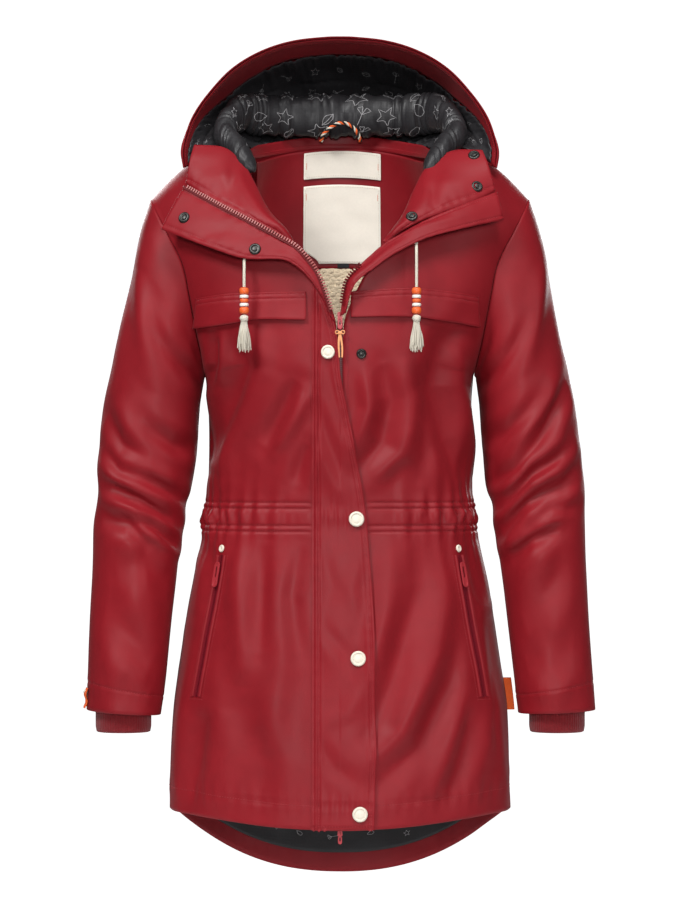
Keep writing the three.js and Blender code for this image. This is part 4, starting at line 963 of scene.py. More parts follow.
def bar(edges):
    """A closed bar between four edge lines."""
    n = len(edges[0])
    faces = []
    for a, b in ((0, n), (n, 2 * n), (2 * n, 3 * n), (3 * n, 0)):
        faces += [[a + k, a + k + 1, b + k + 1, b + k] for k in range(n - 1)]
    faces += [[0, n, 2 * n, 3 * n], [n - 1, 4 * n - 1, 3 * n - 1, 2 * n - 1]]
    return np.concatenate(edges), faces


BOX_FACES = np.array([[0, 1, 3, 2], [4, 6, 7, 5], [0, 4, 5, 1], [2, 3, 7, 6], [0, 2, 6, 4], [1, 5, 7, 3]])


def box_along(centre, ahead, up, long, wide, tall):
    """Corners and faces of small blocks, one at each centre."""
    side = unit(np.cross(ahead, up))
    corners = []
    for a in (-1, 1):
        for b in (-1, 1):
            for c in (-1, 1):
                taper = 0.82 if c > 0 else 1
                corners.append(centre + ahead * a * long / 2 * taper + side * b * wide / 2 * taper + up * c * tall / 2)
    verts = np.stack(corners, 1).reshape(-1, 3)
    return verts, (np.arange(len(centre))[:, None, None] * 8 + BOX_FACES).reshape(-1, 4)


THREAD_OFF = 0.1


class Sewing:
    """Rows of thread, gathered into one mesh."""

    def __init__(self):
        self.parts = []

    def row(self, points, normal, pitch=3.3, wide=0.85):
        gone = lengths_to(points)
        if gone[-1] < pitch:
            return
        at = np.arange(pitch / 2, gone[-1], pitch)
        up = unit(at_lengths(normal, gone, at))
        ends = [at_lengths(points, gone, np.clip(at + side * 0.39 * pitch, 0, gone[-1])) for side in (-1, 1)]
        middle = at_lengths(points, gone, at)
        side = unit(np.cross(ends[1] - ends[0], up)) * wide / 2
        verts = np.stack([ends[0] - 0.2 * up, middle - side, middle + up * 0.42, middle + side, ends[1] - 0.2 * up], 1)
        faces = np.array([[0, 1, 2], [0, 2, 3], [4, 2, 1], [4, 3, 2], [0, 3, 4], [0, 4, 1]])
        count = len(at)
        self.parts.append((verts.reshape(-1, 3), (np.arange(count)[:, None, None] * 5 + faces).reshape(-1, 3)))

    def piece(self, name, finish, slot):
        return add_piece(name, mesh_of(name, *join_parts(self.parts), sharp=180), finish)


SEWING = Sewing()


# Finishes.


class Value:
    """A shader socket that arithmetic can be written on."""

    def __init__(self, finish, socket):
        self.finish, self.socket = finish, socket

    def _math(self, operation, *values):
        return self.finish.node("ShaderNodeMath", {"operation": operation}, dict(enumerate(values)))

    def __add__(self, other):
        return self._math("ADD", self, other)

    __radd__ = __add__

    def __mul__(self, other):
        return self._math("MULTIPLY", self, other)

    __rmul__ = __mul__

    def __sub__(self, other):
        return self._math("SUBTRACT", self, other)

    def __rsub__(self, other):
        return self._math("SUBTRACT", other, self)

    def __truediv__(self, other):
        return self._math("DIVIDE", self, other)

    def __pow__(self, other):
        return self._math("POWER", self, other)

    def sin(self):
        return self._math("SINE", self)

    def above(self, limit):
        return self._math("GREATER_THAN", self, limit)


class Finish:
    """One procedural material, with a plain surface shader at its end."""

    def __init__(self, name, **constants):
        self.material = bpy.data.materials.new(name)
        self.material.use_nodes = True
        self.tree = self.material.node_tree
        self.tree.nodes.clear()
        self.shader = self.tree.nodes.new("ShaderNodeBsdfPrincipled")
        out = self.tree.nodes.new("ShaderNodeOutputMaterial")
        self.tree.links.new(self.shader.outputs[0], out.inputs[0])
        for key, value in constants.items():
            self.shader.inputs[key.replace("_", " ")].default_value = value
        self.place = self.node("ShaderNodeTexCoord", output="Object")

    def node(self, kind, settings=None, inputs=None, output=0):
        node = self.tree.nodes.new(kind)
        for key, value in (settings or {}).items():
            if key == "stops":
                while len(node.color_ramp.elements) > 1:
                    node.color_ramp.elements.remove(node.color_ramp.elements[-1])
                for k, (at, colour) in enumerate(value):
                    stop = node.color_ramp.elements[0] if k == 0 else node.color_ramp.elements.new(at)
                    stop.position, stop.color = at, colour
            else:
                setattr(node, key, value)
        for key, value in (inputs or {}).items():
            if isinstance(value, Value):
                self.tree.links.new(value.socket, node.inputs[key])
            else:
                node.inputs[key].default_value = value
        return Value(self, node.outputs[output])

    def noise(self, scale, detail=2.0, rough=0.5, place=None):
        inputs = {"Vector": place or self.place, "Scale": scale, "Detail": detail, "Roughness": rough}
        return self.node("ShaderNodeTexNoise", None, inputs, "Fac")

    def cells(self, scale, feature="F1"):
        inputs = {"Vector": self.place, "Scale": scale}
        return self.node("ShaderNodeTexVoronoi", {"feature": feature}, inputs, "Distance")

    def axis(self, name):
        return self.node("ShaderNodeSeparateXYZ", None, {0: self.place}, name)

    def mix(self, share, low, high):
        return self.node("ShaderNodeMix", {"data_type": "RGBA"}, {0: share, 6: low, 7: high}, 2)

    def span(self, value, low, high, to_low, to_high):
        inputs = {"Value": value, "From Min": low, "From Max": high, "To Min": to_low, "To Max": to_high}
        return self.node("ShaderNodeMapRange", None, inputs, "Result")

    def colour(self, value):
        self.tree.links.new(value.socket, self.shader.inputs["Base Color"])
        return self

    def rough(self, value):
        self.tree.links.new(value.socket, self.shader.inputs["Roughness"])
        return self

    def raised(self, height, strength, distance):
        made = self.node("ShaderNodeBump", None, {"Height": height, "Strength": strength, "Distance": distance})
        self.tree.links.new(made.socket, self.shader.inputs["Normal"])
        return self


def shade(colour, factor):
    return (*[min(1.0, c * factor) for c in colour[:3]], 1.0)


def coated_cloth(name, colour, gloss=1.0):
    """Rubber-coated cotton: soft sheen, a faint grain, and tone that shifts a little."""
    f = Finish(name, Specular_IOR_Level=0.24)
    f.shader.inputs["Sheen Weight"].default_value = 0.02
    f.shader.inputs["Sheen Roughness"].default_value = 0.5
    tone = f.noise(7.0, 3.0) * 0.7 + f.noise(60.0, 2.0) * 0.3
    f.colour(f.mix(f.span(tone, 0.3, 0.7, 0, 1), shade(colour, 0.88), shade(colour, 1.1)))
    f.rough(f.span(f.noise(14.0, 3.0), 0.3, 0.7, 0.46 * gloss, 0.56 * gloss))
    grain = f.noise(1500.0, 2.0) * 0.5 + f.cells(900.0) * 0.5 + f.noise(45.0, 3.0) * 1.6
    return f.raised(grain, 0.22, 0.0006).material


def woven(name, colour, scale=1400.0, rough=0.85, depth=0.5, vary=0.12):
    """Plain woven cloth with its threads crossing."""
    f = Finish(name, Specular_IOR_Level=0.3)
    x, z = f.axis("X"), f.axis("Z")
    threads = (x * scale * 2).sin() * 0.5 + (z * scale * 2).sin() * 0.5
    tone = f.noise(30.0, 3.0) * 0.6 + f.noise(400.0, 2.0) * 0.4
    f.colour(f.mix(f.span(tone, 0.3, 0.7, 0, 1), shade(colour, 1 - vary), shade(colour, 1 + vary)))
    f.rough(f.span(f.noise(200.0), 0.3, 0.7, rough - 0.06, rough + 0.06))
    return f.raised(threads, depth, 0.0003).material


def moulded(name, colour, rough=0.35, metallic=0.0, wear=0.1, scale=500.0):
    """Moulded plastic or lacquered metal, with fine scuffs."""
    f = Finish(name, Metallic=metallic, Specular_IOR_Level=0.5)
    scuff = f.noise(scale, 4.0, 0.65)
    f.colour(f.mix(f.span(scuff, 0.35, 0.75, 0, 1), shade(colour, 1.0), shade(colour, 1 - wear)))
    f.rough(f.span(scuff, 0.3, 0.7, rough, rough + 0.14))
    return f.raised(f.noise(1800.0, 2.0), 0.08, 0.0002).material


def knitted(name, colour):
    """Fine rib knit: the stitches' small loops over ribs that the mesh has."""
    f = Finish(name, Specular_IOR_Level=0.25)
    f.shader.inputs["Sheen Weight"].default_value = 0.3
    loops = (f.axis("Z") * 5200.0).sin() * 0.5 + f.noise(1200.0, 2.0)
    f.colour(f.mix(f.noise(300.0, 3.0), shade(colour, 0.8), shade(colour, 1.15)))
    f.rough(f.span(f.noise(200.0), 0.3, 0.7, 0.8, 0.95))
    return f.raised(loops, 0.6, 0.0005).material


def pile(name, colour):
    """Curly fleece."""
    f = Finish(name, Specular_IOR_Level=0.2)
    f.shader.inputs["Sheen Weight"].default_value = 0.5
    curls = f.noise(420.0, 4.0, 0.7)
    # Painted shade: the noise that sets the curls' height also darkens the colour where it is low, in the hollows
    # between curls.
    f.colour(f.mix(f.span(curls, 0.3, 0.7, 0, 1), shade(colour, 0.75), shade(colour, 1.0)))
    f.rough(f.span(curls, 0.3, 0.7, 0.85, 1.0))
    return f.raised(curls, 0.9, 0.002).material


def braided(name, colour):
    """Braided cotton cord."""
    f = Finish(name, Specular_IOR_Level=0.25)
    x, z = f.axis("X"), f.axis("Z")
    plait = ((z + x) * 3600.0).sin() * 0.5 + ((z - x) * 3600.0).sin() * 0.5
    f.colour(f.mix(f.span(plait, -1, 1, 0, 1), shade(colour, 0.82), shade(colour, 1.05)))
    f.rough(f.span(f.noise(300.0), 0.3, 0.7, 0.75, 0.9))
    return f.raised(plait, 0.7, 0.0005).material


FINISHES = {}


def make_finishes():
    look = bpy.context.scene.raincoat_looks
    FINISHES.update(
        cloth=coated_cloth("red coated cloth", look.cloth),
        # The facing finish is the cloth darkened: painted shade for the hood's and the back's facings and the neck
        # tape, which sit in shade inside the coat.
        facing=coated_cloth("red facing cloth with painted shade", shade(look.cloth, 0.92), 0.95),
        # A copy of the cloth at under half its brightness, for dark recesses: painted shade. No piece takes it.
        dark_cloth=coated_cloth("red coated cloth darkened as painted shade", shade(look.cloth, 0.45), 1.05),
        lining=woven("black quilted lining", look.lining, 1700.0, 0.42, 0.15, 0.25),
        print=woven("grey printed line", (0.44, 0.43, 0.44), 1700.0, 0.7, 0.2),
        knit=knitted("red rib knit", shade(look.cloth, 0.85)),
        thread=woven("red thread", tuple(min(1, c * 1.4 + 0.03) for c in look.cloth), 3000.0, 0.7, 0.4),
        cream=moulded("cream snap plastic", look.cream, 0.32),
        gunmetal=moulded("dark snap metal", (0.055, 0.053, 0.05), 0.3, 0.85),
        red_metal=moulded("red lacquered metal", (0.4, 0.03, 0.04), 0.35, 0.1),
        teeth=moulded("dark red zip teeth", shade(look.cloth, 0.5), 0.35),
        # Paler teeth, used on the right edge of the zip.
        teeth_light=moulded("pale zip teeth", (0.4, 0.1, 0.095), 0.3),
        band=woven("crimson zip band", (0.17, 0.002, 0.01), 2600.0, 0.6, 0.3),
        tape=woven("dark red zip tape", shade(look.cloth, 0.5), 2600.0, 0.6, 0.3),
        cord=braided("cream cord", look.cream),
        tassel=braided("cream tassel yarn", shade(look.cream, 1.02)),
        bead=moulded("orange bead", look.bead, 0.3),
        bead_white=moulded("white bead", (0.86, 0.83, 0.78), 0.3),
        fleece=pile("beige fleece", (0.98, 0.8, 0.56)),
        label=woven("cream label cloth", (0.86, 0.8, 0.7), 2400.0, 0.9, 0.5, 0.04),
        label_thread=woven("tan label thread", (0.5, 0.38, 0.26), 2600.0, 0.8, 0.4),
        label_dark=woven("black size label", (0.02, 0.02, 0.022), 2400.0, 0.8, 0.4),
        orange=woven("orange tape", look.bead, 2400.0, 0.8, 0.5),
        ribbon=woven("peach ribbon", (0.86, 0.38, 0.17), 2600.0, 0.7, 0.4),
        black_yarn=woven("black yarn", (0.015, 0.014, 0.015), 2600.0, 0.85, 0.5),
        # Dark colour standing for the shade inside an eyelet's hole: painted shade. No piece takes it.
        eyelet=moulded("eyelet hole in painted shade", (0.08, 0.05, 0.05), 0.6),
    )


# Pieces.


def evenly_with(low, high, step, lines=(), near=2.4):
    """Even steps from low to high, closer beside each line."""
    out = np.linspace(low, high, max(3, int(round(abs(high - low) / step)) + 1))
    for line in lines:
        out = out[np.abs(out - line) > 1.25 * near]
        out = np.concatenate([out, line + near * np.array([-1, -0.5, 0, 0.5, 1])])
    return np.unique(np.clip(np.sort(out), min(low, high), max(low, high)))


def edge_fade(share, width):
    return smooth(share / width) * smooth((1 - share) / width)


def build_body():
    rows = evenly_with(HEM, 0, 3.6, CHANNEL_ROWS)
    for name, side in (("front_left", 1), ("front_right", -1)):
        def relief(u, v, p):
            return front_relief(p[..., 0], p[..., 2]) * smooth((1 - u) / 0.05) * smooth(-v / 12)

        def eased(u, v):
            reach = 26 * bump(v - ARMPIT, 34) * smooth((0.99 - u) / 0.14)
            return mirrored(mean_within(lambda step: front_surface(u, v + step), reach), side)

        panel = Panel(eased, np.linspace(0, 1, 84), rows, side, relief=relief)
        cloth_piece(name, panel, 1.6, FINISHES["cloth"], node=name)
        u = np.linspace(0.01, 0.99, 240)
        for row in CHANNEL_ROWS:
            SEWING.row(*panel.at(u[12:], row, THREAD_OFF))
        angle = edge_angle(-750) + u * (np.pi / 2 - edge_angle(-750))
        hem = front_hem(angle)
        SEWING.row(*panel.at(u, HEM + 27 * (HEM_BAND - HEM) / (HEM_BAND - hem), THREAD_OFF))

    angles = np.linspace(np.pi / 2 + 0.0022, 1.5 * np.pi - 0.0022, 140)

    def behind(u, v, p):
        fade = smooth((np.pi / 2 - np.abs(np.pi - u)) / 0.08) * smooth(-v / 12)
        z, x = p[..., 2], p[..., 0]
        out = 1.2 * waves(x, 0.6 * z, 120, 13) + 0.4 * waves(x, z, 45, 14)
        for side in (-1, 1):
            out = out + BACK_DEPTH * side_creases(BACK_CREASES, side, x, z)
        lined = np.maximum(smooth((-650 - z) / 30), smooth((z + 265) / 30) * smooth((165 - np.abs(x)) / 20))
        out = lerp(out, np.maximum(out, -0.6), lined)
        return (out + channel_relief(x * 1.15, z) + hem_pucker(x, z, back_hem(u))) * fade

    panel = Panel(back_surface, angles, rows, 1, relief=behind)
    cloth_piece("back", panel, 1.6, FINISHES["cloth"], node="back")
    inner = angles[2:-2]
    for row in CHANNEL_ROWS:
        SEWING.row(*panel.at(inner, row, THREAD_OFF))
    hem = back_hem(inner)
    for up in (27, 5):
        SEWING.row(*panel.at(inner, HEM + up * (HEM_BAND - HEM) / (HEM_BAND - hem), THREAD_OFF))


def build_sleeves():
    for name, side, rows, strokes, seed in (
        ("sleeve_left", 1, SLEEVE_LEFT, SLEEVE_CREASES_LEFT, 21),
        ("sleeve_right", -1, SLEEVE_RIGHT, SLEEVE_CREASES_RIGHT, 27),
    ):
        shape = sleeve_surface(rows)
        lines = [
            ([(ROUND_STEP * a, RING_STEP * k) for a, k in points], 1.4 * wide, high) for points, wide, high in strokes
        ]

        def relief(u, k, p):
            degrees = u / DEG
            out = SLEEVE_DEPTH * creases(lines, ROUND_STEP * degrees, RING_STEP * k)
            round_waves = waves(60 * np.cos(u) + 25 * np.sin(2 * u), 34 * k, 95, seed)
            pucker = 0.3 * np.sin(degrees / 3.1 + 2 * np.sin(degrees / 11)) * bump((k - HEM_RING) * 50, 9)
            return (out + 1.1 * round_waves) * smooth(k / 0.7) + groove((k - HEM_RING) * 50, 1.1, 0.6) + pucker

        levels = evenly_with(0, 12, 0.08, (HEM_RING,), 0.05)
        around = np.linspace(0, 2 * np.pi, 93)
        panel = Panel(lambda u, k: mirrored(shape(u, k), side), around, levels, -side, closed=True, relief=relief)
        cloth_piece(name, panel, 1.5, FINISHES["cloth"], node=name)
        SEWING.row(*panel.at(np.linspace(0.01, 6.2, 160), HEM_RING, THREAD_OFF))

    for name, side, rows in (("cuff_left", 1, SLEEVE_LEFT), ("cuff_right", -1, SLEEVE_RIGHT)):
        inside = layer(sleeve_surface(rows), -2.4, -1)
        middle = (rows["ix"][-1] + rows["ox"][-1]) / 2

        def surface(a, v):
            z = lerp(CUFF_BOTTOM, CUFF_WAIST, np.minimum(1, v))
            low = xyz(middle - CUFF_HALF * np.cos(a), CUFF_Y - CUFF_DEEP * np.sin(a), z)
            top = inside(a, np.full_like(v, CUFF_RING))
            return mirrored(low + (top - low) * smooth(v - 1)[..., None], side)

        def ribs(a, v, p):
            foot = 1.2 * bump(v, 0.16)
            return 0.2 * np.cos(a * 62) * smooth((1.9 - v) / 0.4) - foot

        panel = Panel(surface, np.linspace(0, 2 * np.pi, 311), np.linspace(0, 2, 15), side, closed=True, relief=ribs)
        cloth_piece(name, panel, 2.6, FINISHES["knit"], name)



def build_hood():
    seam, rim_row = 0.0001, 13 / HOOD_DOWN
    spans = {
        "hood_left": (0.003, HOOD_CENTRE - seam, 88),
        "hood_centre": (HOOD_CENTRE + seam, 1 - HOOD_CENTRE - seam, 62),
        "hood_right": (1 - HOOD_CENTRE + seam, 0.997, 88),
    }
    strokes = [
        (((40, 60), (120, 90), (190, 96)), 12, -1.8),
        (((70, 150), (150, 160), (230, 150)), 14, 2.0),
        (((240, 60), (290, 110), (300, 170)), 13, -1.6),
        (((360, 40), (420, 60), (470, 50)), 14, 1.2),
        (((400, 150), (460, 160), (520, 148)), 12, -1.8),
        (((600, 60), (640, 110), (650, 176)), 13, -1.6),
        (((700, 150), (760, 160), (830, 146)), 14, 2.0),
        (((720, 84), (790, 92), (862, 60)), 12, -1.7),
    ]

    def relief(s, t, p):
        edges = np.minimum(np.abs(s - HOOD_CENTRE), np.abs(s - 1 + HOOD_CENTRE)) * HOOD_AROUND
        x, y = s * HOOD_AROUND, t * HOOD_DOWN
        out = creases(strokes, x, y) + 0.9 * waves(x, y, 110, 31)
        pucker = 0.3 * np.sin(t * 90 + 2 * np.sin(t * 21)) * bump(edges, 9)
        seam = 0.9 * bump(edges, 2.4) * smooth(t / 0.05)
        swell = np.maximum(HOOD_DEPTH * out + pucker + 1.2, -0.9) * smooth((1 - t) / 0.12) * smooth(t / 0.06)
        return swell - seam + groove(t * HOOD_DOWN - 13, 1.2, 0.5)

    down = evenly_with(0, 1, 0.0125, (rim_row,), 0.009)
    for name, (low, high, count) in spans.items():
        panel = Panel(hood_surface, np.linspace(low, high, count), down, -1, relief=relief)
        cloth_piece(name, panel, 1.7, FINISHES["cloth"], node=name)
        SEWING.row(*panel.at(np.linspace(low, high, 260), rim_row, THREAD_OFF))
        for edge in (low, high):
            if 0.1 < edge < 0.9:
                inward = 0.0045 if edge == low else -0.0045
                SEWING.row(*panel.at(edge + inward, np.linspace(0.01, 0.99, 160), THREAD_OFF))

    inside, stitch_row = layer(hood_surface, -3.0, -1), 0.026

    def spread(s):
        return 1 + 0.75 * bump(np.minimum(s, 1 - s) - 0.21, 0.13)

    def facing_place(s, t):
        return inside(s, t * (1 + (spread(s) - 1) * smooth(t / HOOD_FACING)))

    def lining_place(s, t):
        edge = HOOD_FACING * spread(s)
        return deeper(s, edge + (t - HOOD_FACING) * (0.955 - edge) / (0.955 - HOOD_FACING))

    def facing_relief(s, t, p):
        folds = waves(s * HOOD_AROUND, t * HOOD_DOWN, 60, 35)
        return 0.35 * folds + groove((t - stitch_row) * HOOD_DOWN, 1.1, 0.5)

    def neck(s, v):
        far = np.minimum(s, 1 - s)
        edge = hood_surface(np.clip(s, 0, 1), np.ones_like(s))
        within = unit(edge * np.array([-1, -1, 0]) + np.array([0, 20, 0]))
        tall = 4.5 * smooth((far - 0.02) / 0.09)
        return edge + within + xyz(0, HOOD_AROUND * np.minimum(far, 0), lerp(-6, 4.5 + tall, v))

    # The neck tape takes the darker facing finish: painted shade, to match the shaded facing.
    tape = Panel(neck, np.linspace(-0.028, 1.028, 190), np.linspace(0, 1, 7), -1)
    cloth_piece("neck_tape", tape, 0.8, FINISHES["facing"])

    down = evenly_with(0.006, HOOD_FACING, 0.014, (stitch_row,), 0.009)
    facing = Panel(facing_place, np.linspace(0.006, 0.994, 210), down, -1, relief=facing_relief)
    cloth_piece("hood_facing", facing, 1.2, FINISHES["facing"], node="hood_facing")
    back = Panel(inside, np.linspace(0.006, 0.994, 260), [0.006, stitch_row, HOOD_FACING], 1)
    SEWING.row(*back.at(np.linspace(0.02, 0.98, 500), stitch_row, 1.5))

    def quilt(s, t, p):
        x, y = s * HOOD_AROUND, t * LINING_DOWN
        soft = 1.9 * waves(x, 0.35 * y, 52, 37) + 0.7 * waves(1.4 * x, 0.3 * y, 26, 38)
        gather = np.sin(x / 2.6 + 2 * np.sin(x / 17)) * bump(t - HOOD_FACING, 0.12)
        fine = 0.4 * waves(2.0 * x, 0.3 * y, 22, 39)
        return -np.maximum(soft + fine + 1.1 * gather - 1.4 * bump((y % 62) - 31, 5), -1.6)

    deeper = layer(hood_surface, -5.2, -1)
    down = np.linspace(HOOD_FACING + 0.002, 0.955, 58)
    lining = Panel(lining_place, np.linspace(0.01, 0.99, 214), down, -1, relief=quilt)
    cloth_piece("hood_lining", lining, 1.2, FINISHES["lining"], "hood_lining")
    places = [(s, t) for s in np.linspace(0.06, 0.94, 15) for t in (0.27, 0.44, 0.61, 0.78)]
    print_on("hood_lining_print", lining, 1.45, -1, places, 25, HOOD_AROUND, LINING_DOWN, 41)


MOTIFS = (
    ((0, 1), (0.35, 0.45), (0.55, -0.1), (0.35, -0.6), (0, -0.75), (-0.35, -0.6), (-0.55, -0.1), (-0.35, 0.45), (0, 1)),
    ((0, -1), (0, 0.2), (0.6, 0.75), (0.15, 1), (0, 0.2), (-0.6, 0.75), (-0.15, 1), (0, 0.2)),
    ((-0.8, -0.2), (-0.4, 0.3), (0.1, 0.35), (0.8, 0.1), (0.3, -0.25), (-0.3, -0.4), (-0.8, -0.2), (0.8, 0.1)),
    (
        (0, 0.9), (0.22, 0.25), (0.85, 0.25), (0.35, -0.15), (0.5, -0.8), (0, -0.4),
        (-0.5, -0.8), (-0.35, -0.15), (-0.85, 0.25), (-0.22, 0.25), (0, 0.9),
    ),
)


def print_on(name, panel, depth, way, places, size, across, down, seed):
    """Thin light line drawings of drops, sprigs, leaves and stars, laid over a lining."""
    rng = np.random.default_rng(seed)
    parts = []
    for u, v in places:
        shape = np.array(MOTIFS[rng.integers(len(MOTIFS))], float) * size * rng.uniform(0.7, 1.1) / 2
        turn = rng.uniform(0, 2 * np.pi)
        u = u + rng.uniform(-0.3, 0.3) * 22 / across
        v = v + rng.uniform(-0.3, 0.3) * 22 / down
        shape = shape @ np.array([[math.cos(turn), -math.sin(turn)], [math.sin(turn), math.cos(turn)]])
        line = evenly(np.column_stack([shape, np.zeros(len(shape))]), 30)[:, :2]
        ahead = unit(np.gradient(line, axis=0))
        side = np.column_stack([-ahead[:, 1], ahead[:, 0]]) * 0.19
        edges = []
        for part in (line - side, line + side):
            points, normal = panel.at(u + part[:, 0] / across, v + part[:, 1] / down)
            edges.append(points + normal * way * depth)
        count = len(line)
        quads = [[k, k + 1, count + k + 1, count + k] for k in range(count - 1)]
        parts.append((np.concatenate(edges), quads))
    return add_piece(name, mesh_of(name, *join_parts(parts), sharp=180), FINISHES["print"])


def build_neck_roll():
    def surface(r, q):
        half = np.minimum(q, 1 - q)
        side = np.where(q > 0.5, -1.0, 1.0)

        def centre(at):
            row = sample(ROLL, "q", np.clip(np.minimum(at, 1 - at), 0, 0.5))
            return row, row["x"] * np.where(at > 0.5, -1.0, 1.0)

        row, x = centre(q)
        a, ax = centre(np.clip(q - 0.01, 0, 1))
        b, bx = centre(np.clip(q + 0.01, 0, 1))
        out = unit(xyz(b["y"] - a["y"], ax - bx, 0))
        gather = np.pi * (q * 31 + 0.5 * np.sin(q * 37) + 0.35 * np.sin(q * 91 + 2))
        pleat = np.abs(np.sin(gather + 0.35 * np.sin(2 * r + q * 50))) ** 0.7
        fine = np.abs(np.sin(2.3 * gather + 1 + 0.5 * np.sin(r))) ** 0.8
        low = 0.5 - 0.5 * np.sin(r)
        deep = 0.2 * (1 - pleat) * (0.3 + 0.7 * np.abs(2 * low - 0.9)) + 0.09 * (1 - fine) * low
        puff = 1.02 - deep + 0.03 * waves(q * 460, r * 16, 42, 51)
        end = np.sqrt(np.clip(half / 0.02, 0.0, 1))
        turned = xyz(x, row["y"], row["z"])
        off = (row["thick"] * puff * end * np.cos(r))[..., None]
        return turned + out * off + xyz(0, 0, row["tall"] * puff * end * np.sin(r))

    close = np.linspace(0.0005, 0.02, 8)
    q = np.unique(np.concatenate([np.linspace(0.001, 0.999, 440), close, 1 - close]))
    panel = Panel(surface, np.linspace(0, 2 * np.pi, 57), q, 1, closed=True)
    count = len(panel.columns)
    rows = len(q)
    index = np.arange(rows * count).reshape(rows, count)
    quads = grid_faces(index, True).tolist()
    verts = panel.points.reshape(-1, 3)
    ends = np.stack([panel.points[0].mean(0), panel.points[-1].mean(0)])
    for end, ring in ((len(verts), index[0]), (len(verts) + 1, index[-1])):
        quads += [[end, int(ring[i]), int(ring[(i + 1) % count])] for i in range(count)]
    shape = np.concatenate([verts, ends]), quads
    piece = solid_piece("neck_roll", shape, FINISHES["lining"])
    places = [(r, s) for s in np.linspace(0.08, 0.92, 14) for r in (2.1, 3.1, 4.1)]
    print_on("neck_roll_print", panel, 0.35, -1, places, 23, 24, 470, 43)


def build_lapels():
    shapes = {
        "collar_right": (COLLAR_RIGHT, -1, 7, 61),
        "wind_flap": (WIND_FLAP, -1, 2, 62),
        "collar_left": (COLLAR_LEFT, 1, 7, 63),
        "collar_left_edge": (LEFT_EDGE, 1, 2, 64),
    }
    strokes = {
        "collar_right": [(((10, 150), (24, 130), (34, 100)), 6, -1.6), (((40, 190), (28, 160), (14, 134)), 7, 1.3)],
        "wind_flap": [(((30, 210), (14, 180), (8, 140)), 6, -1.0), (((8, 60), (14, 90), (12, 120)), 6, -0.9)],
        "collar_left": [(((8, 150), (22, 126), (36, 108)), 6, -1.7), (((36, 180), (26, 150), (10, 128)), 7, 1.3)],
        "collar_left_edge": [(((6, 60), (10, 100), (8, 140)), 5, -0.8), (((16, 200), (8, 170), (6, 150)), 5, 0.8)],
    }
    for name, (rows, side, puff, seed) in shapes.items():
        shape = lapel_surface(rows, side, puff)
        long = 235 if name in ("wind_flap", "collar_left_edge") else 200

        def relief(u, v, p):
            wide = 42 if long == 200 else 30
            out = creases(strokes[name], u * wide, v * long) + 0.5 * waves(u * wide, v * long, 55, seed)
            lines = (0.9,) if long == 200 else (0.1, 0.9)
            pucker = sum(bump((u - at) * wide, 4) for at in lines) * 0.22 * np.sin(v * long / 2.1)
            return out * edge_fade(u, 0.12) + pucker + sum(groove((u - at) * wide, 1.0, 0.4) for at in lines)

        us = np.unique(np.concatenate([np.linspace(0, 1, 21), [0.06, 0.08, 0.12, 0.14, 0.86, 0.88, 0.92, 0.94]]))
        panel = Panel(shape, us, np.linspace(0, 1, 104), side, relief=relief)
        cloth_piece(name, panel, 2.2, FINISHES["cloth"], node=name)
        v = np.linspace(0.02, 0.985, 240)
        for at in (0.9,) if long == 200 else (0.1, 0.9):
            SEWING.row(*panel.at(at, v, THREAD_OFF))


def zip_row(name, line, normal, finish, flip, tape):
    """Teeth along the edge of an open zip, on their tape."""
    pitch, wide = 3.4, 3.6
    gone = lengths_to(line)
    at = np.arange(pitch, gone[-1] - pitch, pitch)
    place, up = at_lengths(line, gone, at), unit(at_lengths(normal, gone, at))
    ahead = unit(np.gradient(place, axis=0))
    side = np.cross(ahead, up) * flip
    parts = [
        box_along(place + up * 0.6, ahead, up, 0.5 * pitch, wide, 1.9),
        box_along(place + side * wide * 0.5 + up * 0.6, ahead, up, 0.66 * pitch, 1.4, 2.3),
    ]
    finishes = [finish]
    if tape:
        normal = unit(normal)
        across = np.cross(unit(np.gradient(line, axis=0)), normal) * flip
        corners = (-3.4, -0.5), (0.4, -0.5), (0.4, -1.0), (-3.4, -1.0)
        parts.append(bar([line + across * w + normal * h for w, h in corners]))
        finishes.append(FINISHES["tape"])
    solid_piece(name, join_parts(parts), finishes, 35, slots_of(parts, (0, 0, 1)))


def build_zip():
    for name, rows, side, low, high, off in (
        ("zip_teeth_right", WIND_FLAP, -1, 0.05, 1, 2.7),
        ("zip_teeth_left", LEFT_EDGE, 1, 0.05, 0.4, 3.9),
    ):
        v = np.linspace(low, high, 120)
        row = sample(rows, "v", v)
        line = xyz(side * row["ax"], row["ay"] - off, row["az"])
        shape = lapel_surface(rows, side, 0)
        normal = normals(shape, np.full_like(v, 0.1), v, 0.05, 0.005) * side
        pale = FINISHES["teeth_light" if side < 0 else "teeth"]
        zip_row(name, line, normal, pale, -side, side < 0)

    z = np.linspace(-800, -212, 200)
    y = lower_body(np.zeros_like(z), z)[..., 1] + 0.2
    parts = []
    for side in (-1, 1):
        even = evenly(xyz(side * 0.9, y - 0.4, z), 250)
        shift = np.array([0, 0, 1.15 * (side > 0)])
        up = np.tile([0, -1.0, 0], (len(even), 1))
        ahead = np.tile([0, 0, 1.0], (len(even), 1))
        parts.append(box_along(even + shift, ahead, up, 1.15, 2.9, 1.7))
    parts.append(bar([xyz(x, y + h, z) for x, h in ((-3.4, 0.3), (3.4, 0.3), (3.4, 1.5), (-3.4, 1.5))]))
    finishes = [FINISHES["teeth"], FINISHES["tape"]]
    solid_piece("zip_chain", join_parts(parts), finishes, 35, slots_of(parts, (0, 0, 1)))

    slider("zip_slider", (0, -128.8, -205.4), (6.4, 6, 12))
    low_y = float(lower_body(np.zeros(1), np.full(1, -800.0))[0, 1]) + 1.2
    slider("zip_slider_low", (0, low_y, -804.4), (6, 4, 8), -1)
    pull_tab("zip_pull", (0, -133.6, -206), (0, 0, 1), (0, -1, 0), 6, 14)
    pull_tab("zip_pull_low", (0, low_y, -808.9), (0, 0, 1), (0, -1, 0), 5, 9)
    ribbon()


